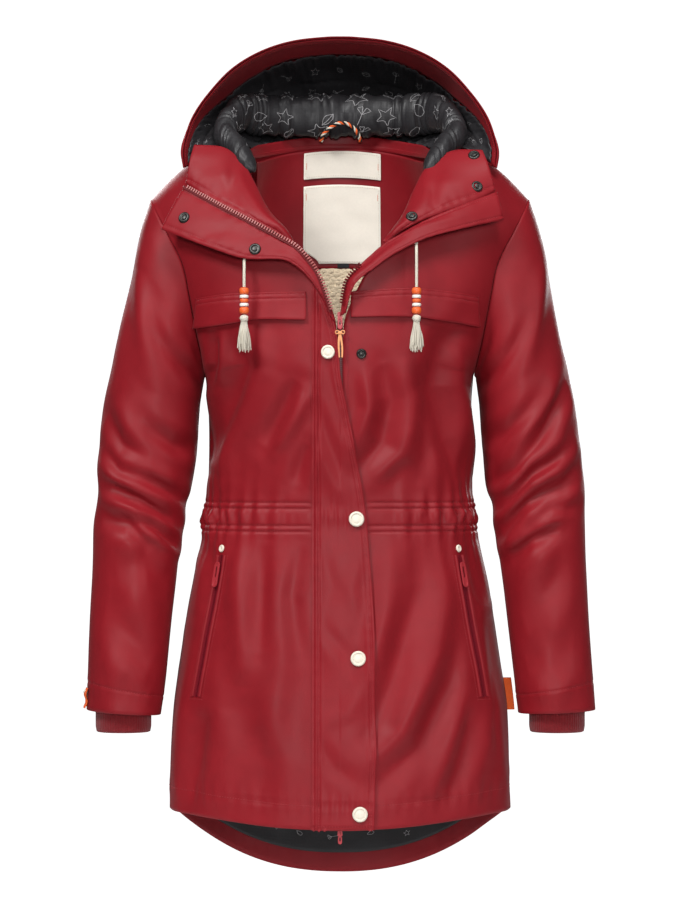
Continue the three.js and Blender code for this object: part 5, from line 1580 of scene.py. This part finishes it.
def slider(name, place, size, way=1):
    """Zip slider: two shaped plates, a neck between them and a bridge for the pull."""
    wide, deep, tall = size
    outline = [(-0.5, 0.35), (-0.36, 0.5), (0.36, 0.5), (0.5, 0.35), (0.4, -0.5), (-0.4, -0.5)]
    parts = []
    for low, high in ((-0.5, -0.26), (0.26, 0.5)):
        ring = [(wide * x, deep * low, way * tall * z) for x, z in outline]
        ring += [(wide * x * 0.94, deep * high, way * tall * z * 0.94) for x, z in outline]
        n = len(outline)
        faces = [list(range(n)), list(range(n, 2 * n))] + [[k, (k + 1) % n, n + (k + 1) % n, n + k] for k in range(n)]
        parts.append((np.array(ring), faces))
    neck = [[x * wide, y * deep, way * z * tall] for x in (-0.2, 0.2) for y in (-0.27, 0.27) for z in (0.2, 0.46)]
    parts.append((np.array(neck), BOX_FACES))
    arch = [(0, y * deep, way * z * tall) for y, z in ((-0.46, 0.28), (-0.62, 0.1), (-0.62, -0.12), (-0.46, -0.3))]
    parts.append(tube(curve_through(arch, 12), 0.55, 8))
    verts, faces = join_parts(parts)
    solid_piece(name, (verts + np.array(place), faces), FINISHES["red_metal"], 40)


def pull_tab(name, place, up, front, wide, long):
    """Flat pull with rounded ends and corners, a slot near its top and a raised rim."""
    up, front = unit(np.array(up, float)), unit(np.array(front, float))
    across = np.cross(up, front)

    def oval(half, low, high, count=10):
        turn = np.linspace(0, np.pi, count)
        top = [(half * math.cos(a), high - half + half * math.sin(a)) for a in turn]
        bottom = [(-half * math.cos(a), low + half - half * math.sin(a)) for a in turn]
        return np.array(top + bottom)

    half = wide / 2
    outer = oval(half * 0.94, -long, 0.4)
    rim = oval(half * 0.72, -long + 0.28 * half, -0.28 * half)
    slot = oval(half * 0.3, -long * 0.62, -long * 0.16)
    n = len(outer)
    verts, faces = [], []
    levels = [
        (outer, -0.36), (outer, 0.36), (outer * 0.97, 0.5), (rim, 0.5), (rim * 0.98, 0.3),
        (slot, 0.3), (slot, -0.3), (rim * 0.98, -0.3), (rim, -0.5), (outer * 0.97, -0.5),
    ]
    for shape, depth in levels:
        verts += [across * x + up * z + front * depth * PULL_THICK for x, z in shape]
    rings = len(levels)
    for a in range(rings):
        b = (a + 1) % rings
        faces += [[a * n + k, a * n + (k + 1) % n, b * n + (k + 1) % n, b * n + k] for k in range(n)]
    shape = np.array(verts) + np.array(place), faces
    solid_piece(name, shape, FINISHES["red_metal"], 40, body=name + "_body")


def ribbon():
    """Peach ribbon tied through the zip's pull: a knot, two small loops and two long tails."""
    top = np.array([0, -133.6, -224.0])
    parts = []
    knot, faces = lathe([(0, -2.4), (2.2, -1.8), (2.9, 0), (2.2, 1.8), (0, 2.4)], 14)
    parts.append((knot * np.array([1, 0.62, 1]) + top, faces))
    for side in (-1, 1):
        loop = [(0, 0, 0), (2.6, -0.6, 2.8), (5.2, -0.9, 2.0), (4.6, -0.4, -0.8), (1.2, 0, -0.6)]
        line = curve_through(mirrored(np.array(loop), side) + top, 26)
        parts.append(tube(line, 0.55, 8, shape=lambda a, s: 1 + 0.6 * np.abs(np.cos(a))))
        tail = [(0, 0, 0), (side * 1.4, -0.5, -8), (side * 2.0 + 0.5, -0.2, -17), (side * 1.6 + 0.8, 0.2, -28.5)]
        line = curve_through(np.array(tail) + top, 30)
        parts.append(tube(line, 0.5, 8, 0.8, shape=lambda a, s: 0.8 + 1.6 * np.abs(np.cos(a)) ** 3))
    solid_piece("zip_ribbon", join_parts(parts), FINISHES["ribbon"], body="zip_pull_body")


def build_placket():
    def across(u, z):
        free = sample(PLACKET, "z", z)["free"]
        return lerp(PLACKET_SEAM_X, free, u), free

    def surface(u, z):
        x, _ = across(u, z)
        low = np.where(z < -798, front_hem(np.arcsin(np.abs(x) / 220)) - 1, z)
        return over_front(x, low, 1.9 + 2.7 * np.sin(np.pi / 2 * u) * smooth((u + 0.02) / 0.1))

    def relief(u, z, p):
        x, free = across(u, z)
        lines = (x + 30.6, x + 24.4, free - 3.0 - x, free - 5.6 - x)
        pucker = sum(bump(line, 4) for line in lines) * 0.16 * np.sin(z / 2.4)
        folds = [(points, 8, high) for points, high in PLACKET_CREASES]
        swell = (0.6 * waves(x, 0.7 * z, 70, 71) + creases(folds, x, z)) * edge_fade(u, 0.2)
        sewn = sum(groove(line, 1.0, 1.0) for line in lines[:2]) + sum(groove(line, 0.9, 0.8) for line in lines[2:])
        return swell + pucker + sewn + 0.5 * bump(x + 27.5, 2) + groove(p[..., 2] + 797.9, 0.9, 0.5)

    us = np.linspace(0, 1, 54)
    panel = Panel(surface, us, evenly_with(-803, -170, 4.2, (-797,), 2.0), 1, relief=relief)
    cloth_piece("placket", panel, 1.5, FINISHES["cloth"], node="placket")
    z = np.linspace(-796, -178, 600)
    free = sample(PLACKET, "z", z)["free"]
    wide = free - PLACKET_SEAM_X
    for x in (-30.6, -24.4):
        keep = wide > 12
        SEWING.row(*panel.at((x - PLACKET_SEAM_X) / wide[keep], z[keep], 0.08))
    for inward in (3.0, 5.6):
        keep = wide > 16
        SEWING.row(*panel.at(1 - inward / wide[keep], z[keep], 0.08))
    SEWING.row(*panel.at(np.linspace(0.04, 0.96, 60), -797.4, 0.08))
    beside = np.linspace(-335, -215, 90)
    x = np.full_like(beside, 9.5)
    SEWING.row(over_front(x, beside, 0.15), front_normal(x, beside))


BUTTON_PLACES = (
    ("button_1", -14, -246, 8.1, 4.9),
    ("button_2", 19, -441, 9.0, 5.4),
    ("button_3", 21, -603, 9.0, 5.1),
    ("button_4", 23, -783, 9.0, 5.1),
)


# Outlines of a snap's cap and of its socket, as shares of the radius and the height.
CAP = (
    (0, 0), (0.97, 0), (1, 0.2), (0.99, 0.5), (0.9, 0.86), (0.8, 0.97), (0.73, 0.9), (0.69, 0.58), (0.6, 0.56),
    (0.54, 0.66), (0.3, 0.74), (0, 0.77),
)
SOCKET = (
    (0, 0), (1, 0), (1, 0.35), (0.9, 0.8), (0.74, 1), (0.62, 0.9), (0.56, 0.45), (0.44, 0.4), (0.38, 0.9),
    (0.2, 1), (0, 1),
)


def scaled(outline, radius, tall):
    return [(radius * r, tall * h) for r, h in outline]


def build_snaps():
    for name, x, z, radius, off in BUTTON_PLACES:
        place, normal = over_front(float(x), float(z), off), front_normal(float(x), float(z))
        turned_piece(name, scaled(CAP, radius, 3.0), 44, place, normal, "cream", 50)

    place, normal = over_front(25.0, -248.0, 0.4), front_normal(25.0, -248.0)
    turned_piece("snap_stud", scaled(SOCKET, 6.0, 3.0), 36, place, normal, "gunmetal", 40)
    for name, rows, side, puff, u, v in (
        ("snap_right_outer", WIND_FLAP, -1, 2, 0.62, 0.94),
        ("snap_right_inner", WIND_FLAP, -1, 2, 0.66, 0.56),
        ("snap_left_outer", COLLAR_LEFT, 1, 5, 0.8, 0.9),
        ("snap_left_inner", COLLAR_LEFT, 1, 5, 0.62, 0.4),
        ("snap_left_corner", COLLAR_LEFT, 1, 5, 0.16, 0.95),
    ):
        shape = lapel_surface(rows, side, puff)
        normal = normals(shape, np.array(u), np.array(v), 0.01, 0.01) * side
        place = shape(np.array(u), np.array(v)) + normal * 0.5
        turned_piece(name, scaled(SOCKET, 7.0, 2.4), 36, place, normal, "gunmetal", 40)


def build_flaps():
    for name, rows, side, seed in (("chest_flap_right", FLAP_RIGHT, -1, 81), ("chest_flap_left", FLAP_LEFT, 1, 82)):
        def surface(u, v):
            row = sample(rows, "u", u)
            return over_front(row["x"], lerp(row["low"], row["top"], v), 1.9 + 4.2 * (1 - v) ** 1.5)

        def relief(u, v, p):
            row = sample(rows, "u", u)
            down = (1 - v) * (row["top"] - row["low"])
            pucker = bump(down - 4, 6) * 0.25 * np.sin(row["x"] / 2.2)
            sewn = groove(down - 1.6, 0.8, 0.4) + groove(down - 7.0, 0.8, 0.45)
            return 0.5 * waves(row["x"], p[..., 2], 45, seed) * (1 - v) + pucker + sewn

        vs = np.unique(np.concatenate([np.linspace(0, 1, 14), 1 - np.array([0.02, 0.05, 0.08, 0.19, 0.22, 0.25])]))
        panel = Panel(surface, np.linspace(0, 1, 66), vs, side, relief=relief)
        cloth_piece(name, panel, 1.4, FINISHES["cloth"], node=name)
        u = np.linspace(0.01, 0.99, 150)
        row = sample(rows, "u", u)
        tall = row["top"] - row["low"]
        for down in (1.6, 7.0):
            SEWING.row(*panel.at(u, 1 - down / tall, 0.08))


def build_pockets():
    (top_x, top_z), (low_x, low_z) = POCKET_TOP, POCKET_LOW
    for name, side in (("left", 1), ("right", -1)):
        def along(v, w, off):
            x = side * (lerp(low_x, top_x, v) + w)
            return over_front(x, lerp(low_z, top_z, v), off)

        v = np.linspace(0.0, 1, 90)
        parts = [tube(along(v, w, 0.9), 1.5, 10, shape=lambda a, s: 1 + 0.25 * np.cos(2 * a)) for w in (-4.3, 4.3)]
        parts.append(bar([along(v, w, h) for w, h in ((-3.3, 0.5), (3.3, 0.5), (3.3, 0.2), (-3.3, 0.2))]))
        line = evenly(along(v, 0.0, 0.9), 105)
        ahead = unit(np.gradient(line, axis=0))
        up = np.tile(front_normal(side * 154.0, -567.0), (len(line), 1))
        parts.append(box_along(line, ahead, up, 1.1, 3.0, 1.3))
        finishes = [FINISHES["cloth"], FINISHES["band"]]
        solid_piece("pocket_" + name, join_parts(parts), finishes, 60, slots_of(parts, (0, 0, 1, 1)))
        for w in (-7.2, 7.2):
            fine = np.linspace(-0.03, 1.0, 150)
            x = side * (lerp(low_x, top_x, fine) + w)
            z = lerp(low_z, top_z, fine)
            SEWING.row(over_front(x, z, 0.12), front_normal(x, z))
        x = side * (low_x + np.linspace(-7.2, 7.2, 14))
        SEWING.row(over_front(x, low_z - 3.5, 0.12), front_normal(x, low_z - 3.5))

        x = side * (top_x + 2.5)
        seat = over_front(x, -493.0, 3.5)
        tip = over_front(x + side * 4, -523.0, 4.9)
        up = unit(seat - tip)
        front = front_normal(x, -493.0)
        front = unit(front - up * np.dot(front, up))
        pull_tab("pocket_pull_" + name, PULL_SEATS[name], up, front, 9, 30)
        place, normal = over_front(side * top_x, top_z + 7.6, 0.5), front_normal(side * top_x, top_z + 7.6)
        outline = [(0, 0), (4.4, 0), (4.5, 0.7), (4.0, 1.5), (3.1, 1.8), (2.2, 1.55), (1.6, 1.2), (0, 1.15)]
        turned_piece("rivet_" + name, outline, 32, place, normal, "cream", 50)


CORDS = (("right", -111.5, -133.5, -139, 8.4), ("left", 89, -135.5, -121, 9.2))
BEADS_TOP, CORD_WIDE, BEAD_WIDE = -171, 3.4, 5.6


def build_cords():
    for name, x, y, top, tuck in CORDS:
        heights = (tuck, top + 6), (0.8 * tuck, top), (3, top - 8), (0.6, top - 16), (0, BEADS_TOP + 0.3)
        path = curve_through([(x, y + back, z) for back, z in heights], 24)
        curve = bpy.data.curves.new("cord_" + name, "CURVE")
        curve.dimensions = "3D"
        curve.bevel_depth = CORD_WIDE / 2 * MM
        curve.bevel_resolution = 5
        curve.use_fill_caps = True
        spline = curve.splines.new("POLY")
        spline.points.add(len(path) - 1)
        for point, place in zip(spline.points, path):
            point.co = (*(place * MM), 1)
        cord = bpy.data.objects.new("cord_" + name, curve)
        bpy.context.scene.collection.objects.link(cord)
        curve.materials.append(FINISHES["cord"])
        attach(cord, COAT)
        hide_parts("cord_" + name)

        beads, slots, at = [], [], BEADS_TOP
        for tall, radius, colour in ((8.4, 1.0, 0), (4.6, 0.94, 1), (5.0, 0.9, 0), (4.6, 0.94, 1), (8.4, 1.0, 0)):
            turn = np.linspace(-1, 1, 9)
            swell = [0.62 + 0.38 * math.sqrt(max(0, 1 - abs(t) ** 2.4)) for t in turn]
            side = [(BEAD_WIDE * radius * out, tall * (0.47 * t - 0.5)) for out, t in zip(swell, turn)]
            ends = [(BEAD_WIDE * hole, -tall * end) for hole, end in ((0, 0.97), (0.42, 0.97), (0.42, 0.03), (0, 0.03))]
            verts, faces = lathe(ends[:2] + side + ends[2:], 32)
            beads.append((verts + np.array([x, y, at]), faces))
            slots += [colour] * len(faces)
            at -= tall
        finishes = [FINISHES["bead"], FINISHES["bead_white"]]
        strung = solid_piece("beads_" + name, join_parts(beads), finishes, 50, slots)
        tassel(name, x, y, BEADS_TOP - 31.4)


def tassel(name, x, y, top):
    """A knot and a spread bundle of yarn, tied round below the knot."""
    rng = np.random.default_rng(91 if name == "left" else 92)
    head, faces = lathe([(0, 0), (2.6, -0.5), (4.7, -2.4), (5.1, -4.7), (4.2, -7.2), (2.9, -8.8), (0, -9.4)], 28)
    swirl = 1 + 0.07 * np.sin(3 * np.arctan2(head[:, 1], head[:, 0]) + head[:, 2] * 1.6)
    head[:, :2] *= swirl[:, None]
    parts = [(head + np.array([x, y, top]), faces)]
    for k in range(58):
        turn = k * 2.4
        far = math.sqrt((k + 0.5) / 58)
        long = 33 + rng.uniform(-6, 5)
        foot = np.array([8.2 * far * math.cos(turn), 5.0 * far * math.sin(turn), 0])
        sway = rng.uniform(-0.8, 0.8, 3)
        line = [
            (foot[0] * 0.35, foot[1] * 0.35, -6.5),
            (foot[0] * 0.5 + sway[0], foot[1] * 0.5, -15),
            (foot[0] * 0.85, foot[1] * 0.85 + sway[1], -15 - 0.5 * (long - 10)),
            (foot[0], foot[1], -6.5 - long),
        ]
        parts.append(tube(curve_through(np.array(line) + np.array([x, y, top]), 12), 0.62, 5, 5.0))
    solid_piece("tassel_" + name, join_parts(parts), FINISHES["tassel"])


LABELS = (("label_upper", -46, 52, 7, -25, 0, -9), ("label_lower", -46, 51, -34, -130, 19, -47))


def back_row(z):
    row = -30.0
    for _ in range(20):
        row += 0.8 * (z - float(back_surface(np.array([np.pi]), np.array([row]))[0, 2]))
    return row


def inside_back(x, row, off):
    """Points on the inside of the back, at a place across and a row."""
    x, row = np.broadcast_arrays(np.asarray(x, float), np.asarray(row, float))
    turn = quarter_turn(lambda angle: back_surface(np.pi - angle, row)[..., 0], np.abs(x))
    angle = np.pi - turn * np.sign(x)
    normal = normals(back_surface, angle, row, 1e-3, 0.1)
    return back_surface(angle, row) - normal * off


def build_inside():
    high, low = back_row(9), back_row(-137)
    span = 39 * DEG

    def facing(angle, row):
        gap = 3.0 + 5 * (np.abs(np.pi - angle) / span) ** 2.5
        return back_surface(angle, row) - normals(back_surface, angle, row, 1e-3, 0.1) * gap[..., None]

    def soft(u, v, p):
        return -0.5 * waves(p[..., 0], p[..., 2], 60, 101)

    panel = Panel(facing, np.linspace(np.pi - span, np.pi + span, 70), np.linspace(low + 1.2, high, 60), 1, relief=soft)
    cloth_piece("back_facing", panel, 1.2, FINISHES["facing"], node="back_facing")

    def curls(u, v, p):
        x, z = p[..., 0], p[..., 2]
        lumps = waves(x, z, 6.0, 103) + waves(x + 31, z, 3.8, 104) + 0.7 * waves(x, z + 17, 9, 105)
        return -0.75 * lumps

    rows = np.linspace(back_row(-226), low - 1, 76)
    under = layer(back_surface, -3.5, 1, 1e-3, 0.1)
    panel = Panel(under, np.linspace(np.pi - 33 * DEG, np.pi + 33 * DEG, 132), rows, 1, relief=curls)
    cloth_piece("back_fleece", panel, 2.6, FINISHES["fleece"], "back_fleece")

    cream, pale = Sewing(), Sewing()
    for name, left, right, top, low_z, cut, tack in LABELS:
        foot, head = back_row(low_z), back_row(top)

        def surface(x, row):
            fill = smooth((row - foot) / cut) if cut else 1.0
            mid = (left + right) / 2
            return inside_back(mid + (x - mid) * (1 - (0.4 * (1 - fill) if cut else 0)), row, 6.6)

        def soft(u, v, p):
            return 0.25 * waves(p[..., 0], p[..., 2], 34, 111)

        panel = Panel(surface, np.linspace(left, right, 40), np.linspace(foot, head, 34), 1, relief=soft)
        cloth_piece(name, panel, 0.7, FINISHES["label"], name)
        for u in (left + 3, right - 3):
            rows = np.linspace(back_row(tack - 4), back_row(tack + 4), 12)
            cream.row(*panel.at(u, rows, 0.2), pitch=1.0, wide=1.1)
        u, rows = np.linspace(left + 2.2, right - 2.2, 60), np.linspace(foot + 2.4, head - 2.4, 60)
        for line in ((u, head - 2.2), (u, foot + 2.2), (left + 2.2, rows), (right - 2.2, rows)):
            pale.row(*panel.at(*line, 0.1), pitch=3.0, wide=0.45)
    cream.piece("label_bartacks", FINISHES["orange"], "label")
    pale.piece("label_sewing", FINISHES["label_thread"], "label")

    foot, head = back_row(-135.4), back_row(-130.8)
    panel = Panel(lambda x, r: inside_back(x, r, 6.6), np.linspace(-3, 11, 12), np.linspace(foot, head, 8), 1)
    solid_piece("label_size", panel.shell(0.7), FINISHES["label_dark"])

    def band(angle, v):
        return lower_body(angle, lerp(back_hem(angle) + 24, -690, v))

    inner = layer(band, -3.1, 1)

    def quilt(u, v, p):
        return -0.5 * waves(p[..., 0], p[..., 2], 40, 121)

    panel = Panel(inner, np.linspace(np.pi / 2 + 0.1, 1.5 * np.pi - 0.1, 150), np.linspace(0, 1, 44), 1, relief=quilt)
    cloth_piece("back_lining", panel, 1.2, FINISHES["lining"], "back_lining")
    places = [(a, v) for a in np.linspace(1.9, 4.4, 15) for v in (0.12, 0.3, 0.5)]
    print_on("back_lining_print", panel, -1.5, 1, places, 11, 190, 170, 45)

    rising = (-23, 73, 16.8), (-20, 67.4, 25), (-9, 63.4, 34.5), (2, 62.8, 38.5)
    loop = curve_through([*rising, (14, 63.4, 34.5), (22, 67.2, 25), (25, 73, 16.8)], 64)
    ahead = unit(np.gradient(loop, axis=0))
    side = unit(np.cross(ahead, [0, 1.0, 0.2]))
    up = np.cross(ahead, side)
    share = np.linspace(0, 1, len(loop))[:, None]
    parts = []
    for k in range(3):
        turn = 2 * np.pi * (k / 3 + 6.5 * share)
        parts.append(tube(loop + (np.cos(turn) * side + np.sin(turn) * up) * 1.15, 1.2, 8))
    finishes = [FINISHES["orange"], FINISHES["tassel"], FINISHES["black_yarn"]]
    solid_piece("hanger_loop", join_parts(parts), finishes, slots=slots_of(parts, range(3)))


def build_tags():
    z = np.linspace(-671, -633, 20)
    edge = lower_body(np.full_like(z, np.pi / 2), z)[..., 0] + 0.4

    def side_tag(u, v):
        at = np.interp(v, z, edge)
        return xyz(at + 9 * np.sin(np.pi * u) ** 0.6, -1.0 + 1.6 * np.cos(np.pi * u), v)

    panel = Panel(side_tag, np.linspace(0, 1, 15), np.linspace(-671, -633, 24), 1)
    solid_piece("tag_side", panel.shell(0.6), FINISHES["orange"])

    shape = sleeve_surface(SLEEVE_RIGHT)
    cuff = layer(shape, 1.0, -1)

    def cuff_tag(u, k):
        base = cuff(np.pi - 0.16 + 0.19 * u, k)
        wave = 2.4 * np.sin((k - 11.62) / 0.35 * 1.5 * np.pi) ** 2
        return mirrored(base + xyz(wave, 0, 0), -1)

    panel = Panel(cuff_tag, np.linspace(-1, 1, 9), np.linspace(11.62, 11.97, 26), 1)
    place, normal = panel.at(0.0, 11.68, 0.1)
    verts, faces = lathe([(0, 0), (2.6, 0), (2.5, 0.7), (1.7, 1.1), (0, 1.0)], 20)
    under = layer(shape, 0.6, -1)(np.full(10, np.pi - 0.16), np.linspace(11.64, 11.95, 10))
    parts = [panel.shell(0.8), (seated(verts, place, normal), faces), tube(mirrored(under, -1), 1.0, 6)]
    finishes = [FINISHES["orange"], FINISHES["cream"]]
    solid_piece("tag_cuff", join_parts(parts), finishes, 50, slots_of(parts, (0, 1, 0)))


def build_sewing():
    SEWING.piece("sewing", FINISHES["thread"], "red_cloth")


# Stage.


# The photograph's camera: its distance, the height that it frames and its own height, in millimetres.
CAMERA_AWAY, FRAMED, CAMERA_Z, SENSOR = 4300, 1088.4, -364.2, 36


def build_camera():
    make_finishes()
    scene = bpy.context.scene
    camera = bpy.data.cameras.new("camera")
    camera.sensor_width = SENSOR
    camera.lens = SENSOR * CAMERA_AWAY / FRAMED
    camera.clip_end = 40
    seat = bpy.data.objects.new("camera", camera)
    seat.location = (0, -CAMERA_AWAY * MM, CAMERA_Z * MM)
    seat.rotation_euler = (math.pi / 2, 0, 0)
    scene.collection.objects.link(seat)
    scene.camera = seat


FLOOR_WIDE, FLOOR_Z, ROOM_WIDE = 1.12, -1.055, 14.0
# Lamps: name, place and size in metres, and power in watts. All face LAMP_AIM.
LAMPS = (
    ("key", (-1.7, -2.2, 1.9), 0.9, 80),
    ("fill", (2.3, -2.2, 0.7), 1.1, 19),
    ("top", (0.4, -1.7, 2.5), 1.0, 58),
    ("front", (0.1, -4.1, 0.1), 0.5, 56),
    ("back left", (-1.3, 3.2, 1.0), 1.3, 58),
    ("back right", (1.3, 3.3, 0.4), 1.3, 42),
)
LAMP_AIM = (0, 0, -0.4)


def build_stage():
    scene = bpy.context.scene
    looks = scene.raincoat_looks
    white = Finish("white paper", Roughness=0.9, Specular_IOR_Level=0.1)
    white.colour(white.mix(white.noise(3.0), (1, 1, 1, 1), (0.985, 0.985, 0.985, 1)))
    white.shader.inputs["Emission Color"].default_value = (1, 1, 1, 1)
    white.shader.inputs["Emission Strength"].default_value = looks.backdrop_glow
    pale = Finish("pale floor", Roughness=0.8, Specular_IOR_Level=0.2)
    pale.colour(pale.mix(pale.noise(3.0), (0.82, 0.82, 0.82, 1), (0.79, 0.79, 0.79, 1)))

    turn = np.linspace(0, 2 * np.pi, 96, endpoint=False)
    ring = [(FLOOR_WIDE * math.cos(a), FLOOR_WIDE * math.sin(a), FLOOR_Z) for a in turn]
    floor = bpy.data.meshes.new("floor")
    floor.from_pydata(ring, [], [list(range(len(ring)))])
    floor.materials.append(pale.material)

    # A white room far beyond every camera, seen but giving no light of its own.
    levels, around = np.linspace(-0.5, 0.5, 25) * np.pi, np.linspace(0, 2 * np.pi, 48, endpoint=False)
    dome = [
        ROOM_WIDE * np.array([math.cos(b) * math.cos(a), math.cos(b) * math.sin(a), math.sin(b)])
        for b in levels
        for a in around
    ]
    n = len(around)
    quads = [
        [r * n + k, r * n + (k + 1) % n, (r + 1) * n + (k + 1) % n, (r + 1) * n + k]
        for r in range(len(levels) - 1)
        for k in range(n)
    ]
    room = bpy.data.meshes.new("backdrop")
    room.from_pydata(dome, [], quads)
    room.materials.append(white.material)

    for mesh in (floor, room):
        sheet = bpy.data.objects.new(mesh.name, mesh)
        scene.collection.objects.link(sheet)
        if mesh == room:
            sheet.visible_diffuse = sheet.visible_glossy = sheet.visible_transmission = False
            sheet.visible_volume_scatter = sheet.visible_shadow = False
    for name, place, size, power in LAMPS:
        light = bpy.data.lights.new(name, "AREA")
        light.size = size
        light.energy = power * looks.light
        seat = bpy.data.objects.new(name, light)
        seat.location = place
        seat.rotation_euler = (Vector(LAMP_AIM) - Vector(place)).to_track_quat("-Z", "Y").to_euler()
        scene.collection.objects.link(seat)
    world = bpy.data.worlds.new("studio")
    world.use_nodes = True
    world.node_tree.nodes["Background"].inputs[0].default_value = (1, 1, 1, 1)
    world.node_tree.nodes["Background"].inputs[1].default_value = looks.room_light
    scene.world = world
    scene.view_settings.view_transform = "Standard"


# The add-on.


def colour_value(name, description, default):
    return FloatVectorProperty(name=name, description=description, subtype="COLOR", default=default)


def light_value(name, description, default):
    return FloatProperty(name=name, description=description, default=default, min=0)


class RaincoatLooks(bpy.types.PropertyGroup):
    cloth: colour_value("Cloth", "Colour of the coated cloth", (0.235, 0.0062, 0.0118))
    lining: colour_value("Lining", "Colour of the quilted lining", (0.022, 0.021, 0.023))
    cream: colour_value("Cream", "Colour of snaps, cords and labels", (0.8, 0.74, 0.62))
    bead: colour_value("Beads", "Colour of the orange beads and tapes", (0.83, 0.13, 0.025))
    light: light_value("Light", "Strength of the studio lamps", 1.0)
    room_light: light_value("Room light", "Strength of the light from all round", 0.07)
    backdrop_glow: light_value("Backdrop", "How far the white paper is lit by itself", 1.0)


class RaincoatSizes(bpy.types.PropertyGroup):
    parts: IntProperty(name="Nodes", description="Nodes of the packed frame", default=len(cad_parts))


def operator(name, label, text, step):
    """An operator that runs one step of the coat."""

    def execute(self, context):
        step()
        return {"FINISHED"}

    values = {"__doc__": text, "bl_idname": "raincoat." + name, "bl_label": label, "execute": execute}
    return type("RAINCOAT_OT_" + name, (bpy.types.Operator,), values)


STEPS = (
    ("camera", "Camera and finishes", "Camera at the photograph's angle, and the finishes", build_camera),
    ("cords", "Drawcords", "Drawcords with their beads and tassels", build_cords),
    ("body", "Body", "Fronts and back", build_body),
    ("sleeves", "Sleeves", "Sleeves and knitted cuffs", build_sleeves),
    ("hood", "Hood", "Hood, its facing and its quilted lining", build_hood),
    ("neck_roll", "Neck roll", "Padded, gathered roll round the neck", build_neck_roll),
    ("lapels", "Lapels", "Lapels of the open neck", build_lapels),
    ("placket", "Placket", "Placket over the zip", build_placket),
    ("zip", "Front zip", "Front zip, its sliders, pulls and ribbon", build_zip),
    ("snaps", "Snaps", "Cream snap caps and dark snaps", build_snaps),
    ("flaps", "Chest flaps", "Chest flaps", build_flaps),
    ("pockets", "Pockets", "Zipped hand pockets, their pulls and rivets", build_pockets),
    ("inside", "Inside of the back", "Facing, fleece, labels, lining and hanger loop of the back", build_inside),
    ("tags", "Tags", "Small orange tags", build_tags),
    ("sewing", "Sewing", "Red thread of every row of stitches", build_sewing),
    ("stage", "Stage", "White paper backdrop and soft studio light", build_stage),
)
OPERATORS = tuple(operator(*step) for step in STEPS)


class RAINCOAT_PT_panel(bpy.types.Panel):
    """The steps that make the raincoat"""

    bl_idname = "RAINCOAT_PT_panel"
    bl_label = "Raincoat"
    bl_space_type = "VIEW_3D"
    bl_region_type = "UI"
    bl_category = "Raincoat"

    def draw(self, context):
        for item in OPERATORS:
            self.layout.operator(item.bl_idname)
        for group in (context.scene.raincoat_looks, context.scene.raincoat_sizes):
            for name in group.__annotations__:
                self.layout.prop(group, name)


CLASSES = (RaincoatLooks, RaincoatSizes, *OPERATORS, RAINCOAT_PT_panel)


def register():
    for item in CLASSES:
        bpy.utils.register_class(item)
    bpy.types.Scene.raincoat_looks = PointerProperty(type=RaincoatLooks)
    bpy.types.Scene.raincoat_sizes = PointerProperty(type=RaincoatSizes)


def unregister():
    del bpy.types.Scene.raincoat_sizes
    del bpy.types.Scene.raincoat_looks
    for item in reversed(CLASSES):
        bpy.utils.unregister_class(item)


def main():
    register()
    for name, *_ in STEPS:
        getattr(bpy.ops.raincoat, name)()


if __name__ == "__main__":
    main()
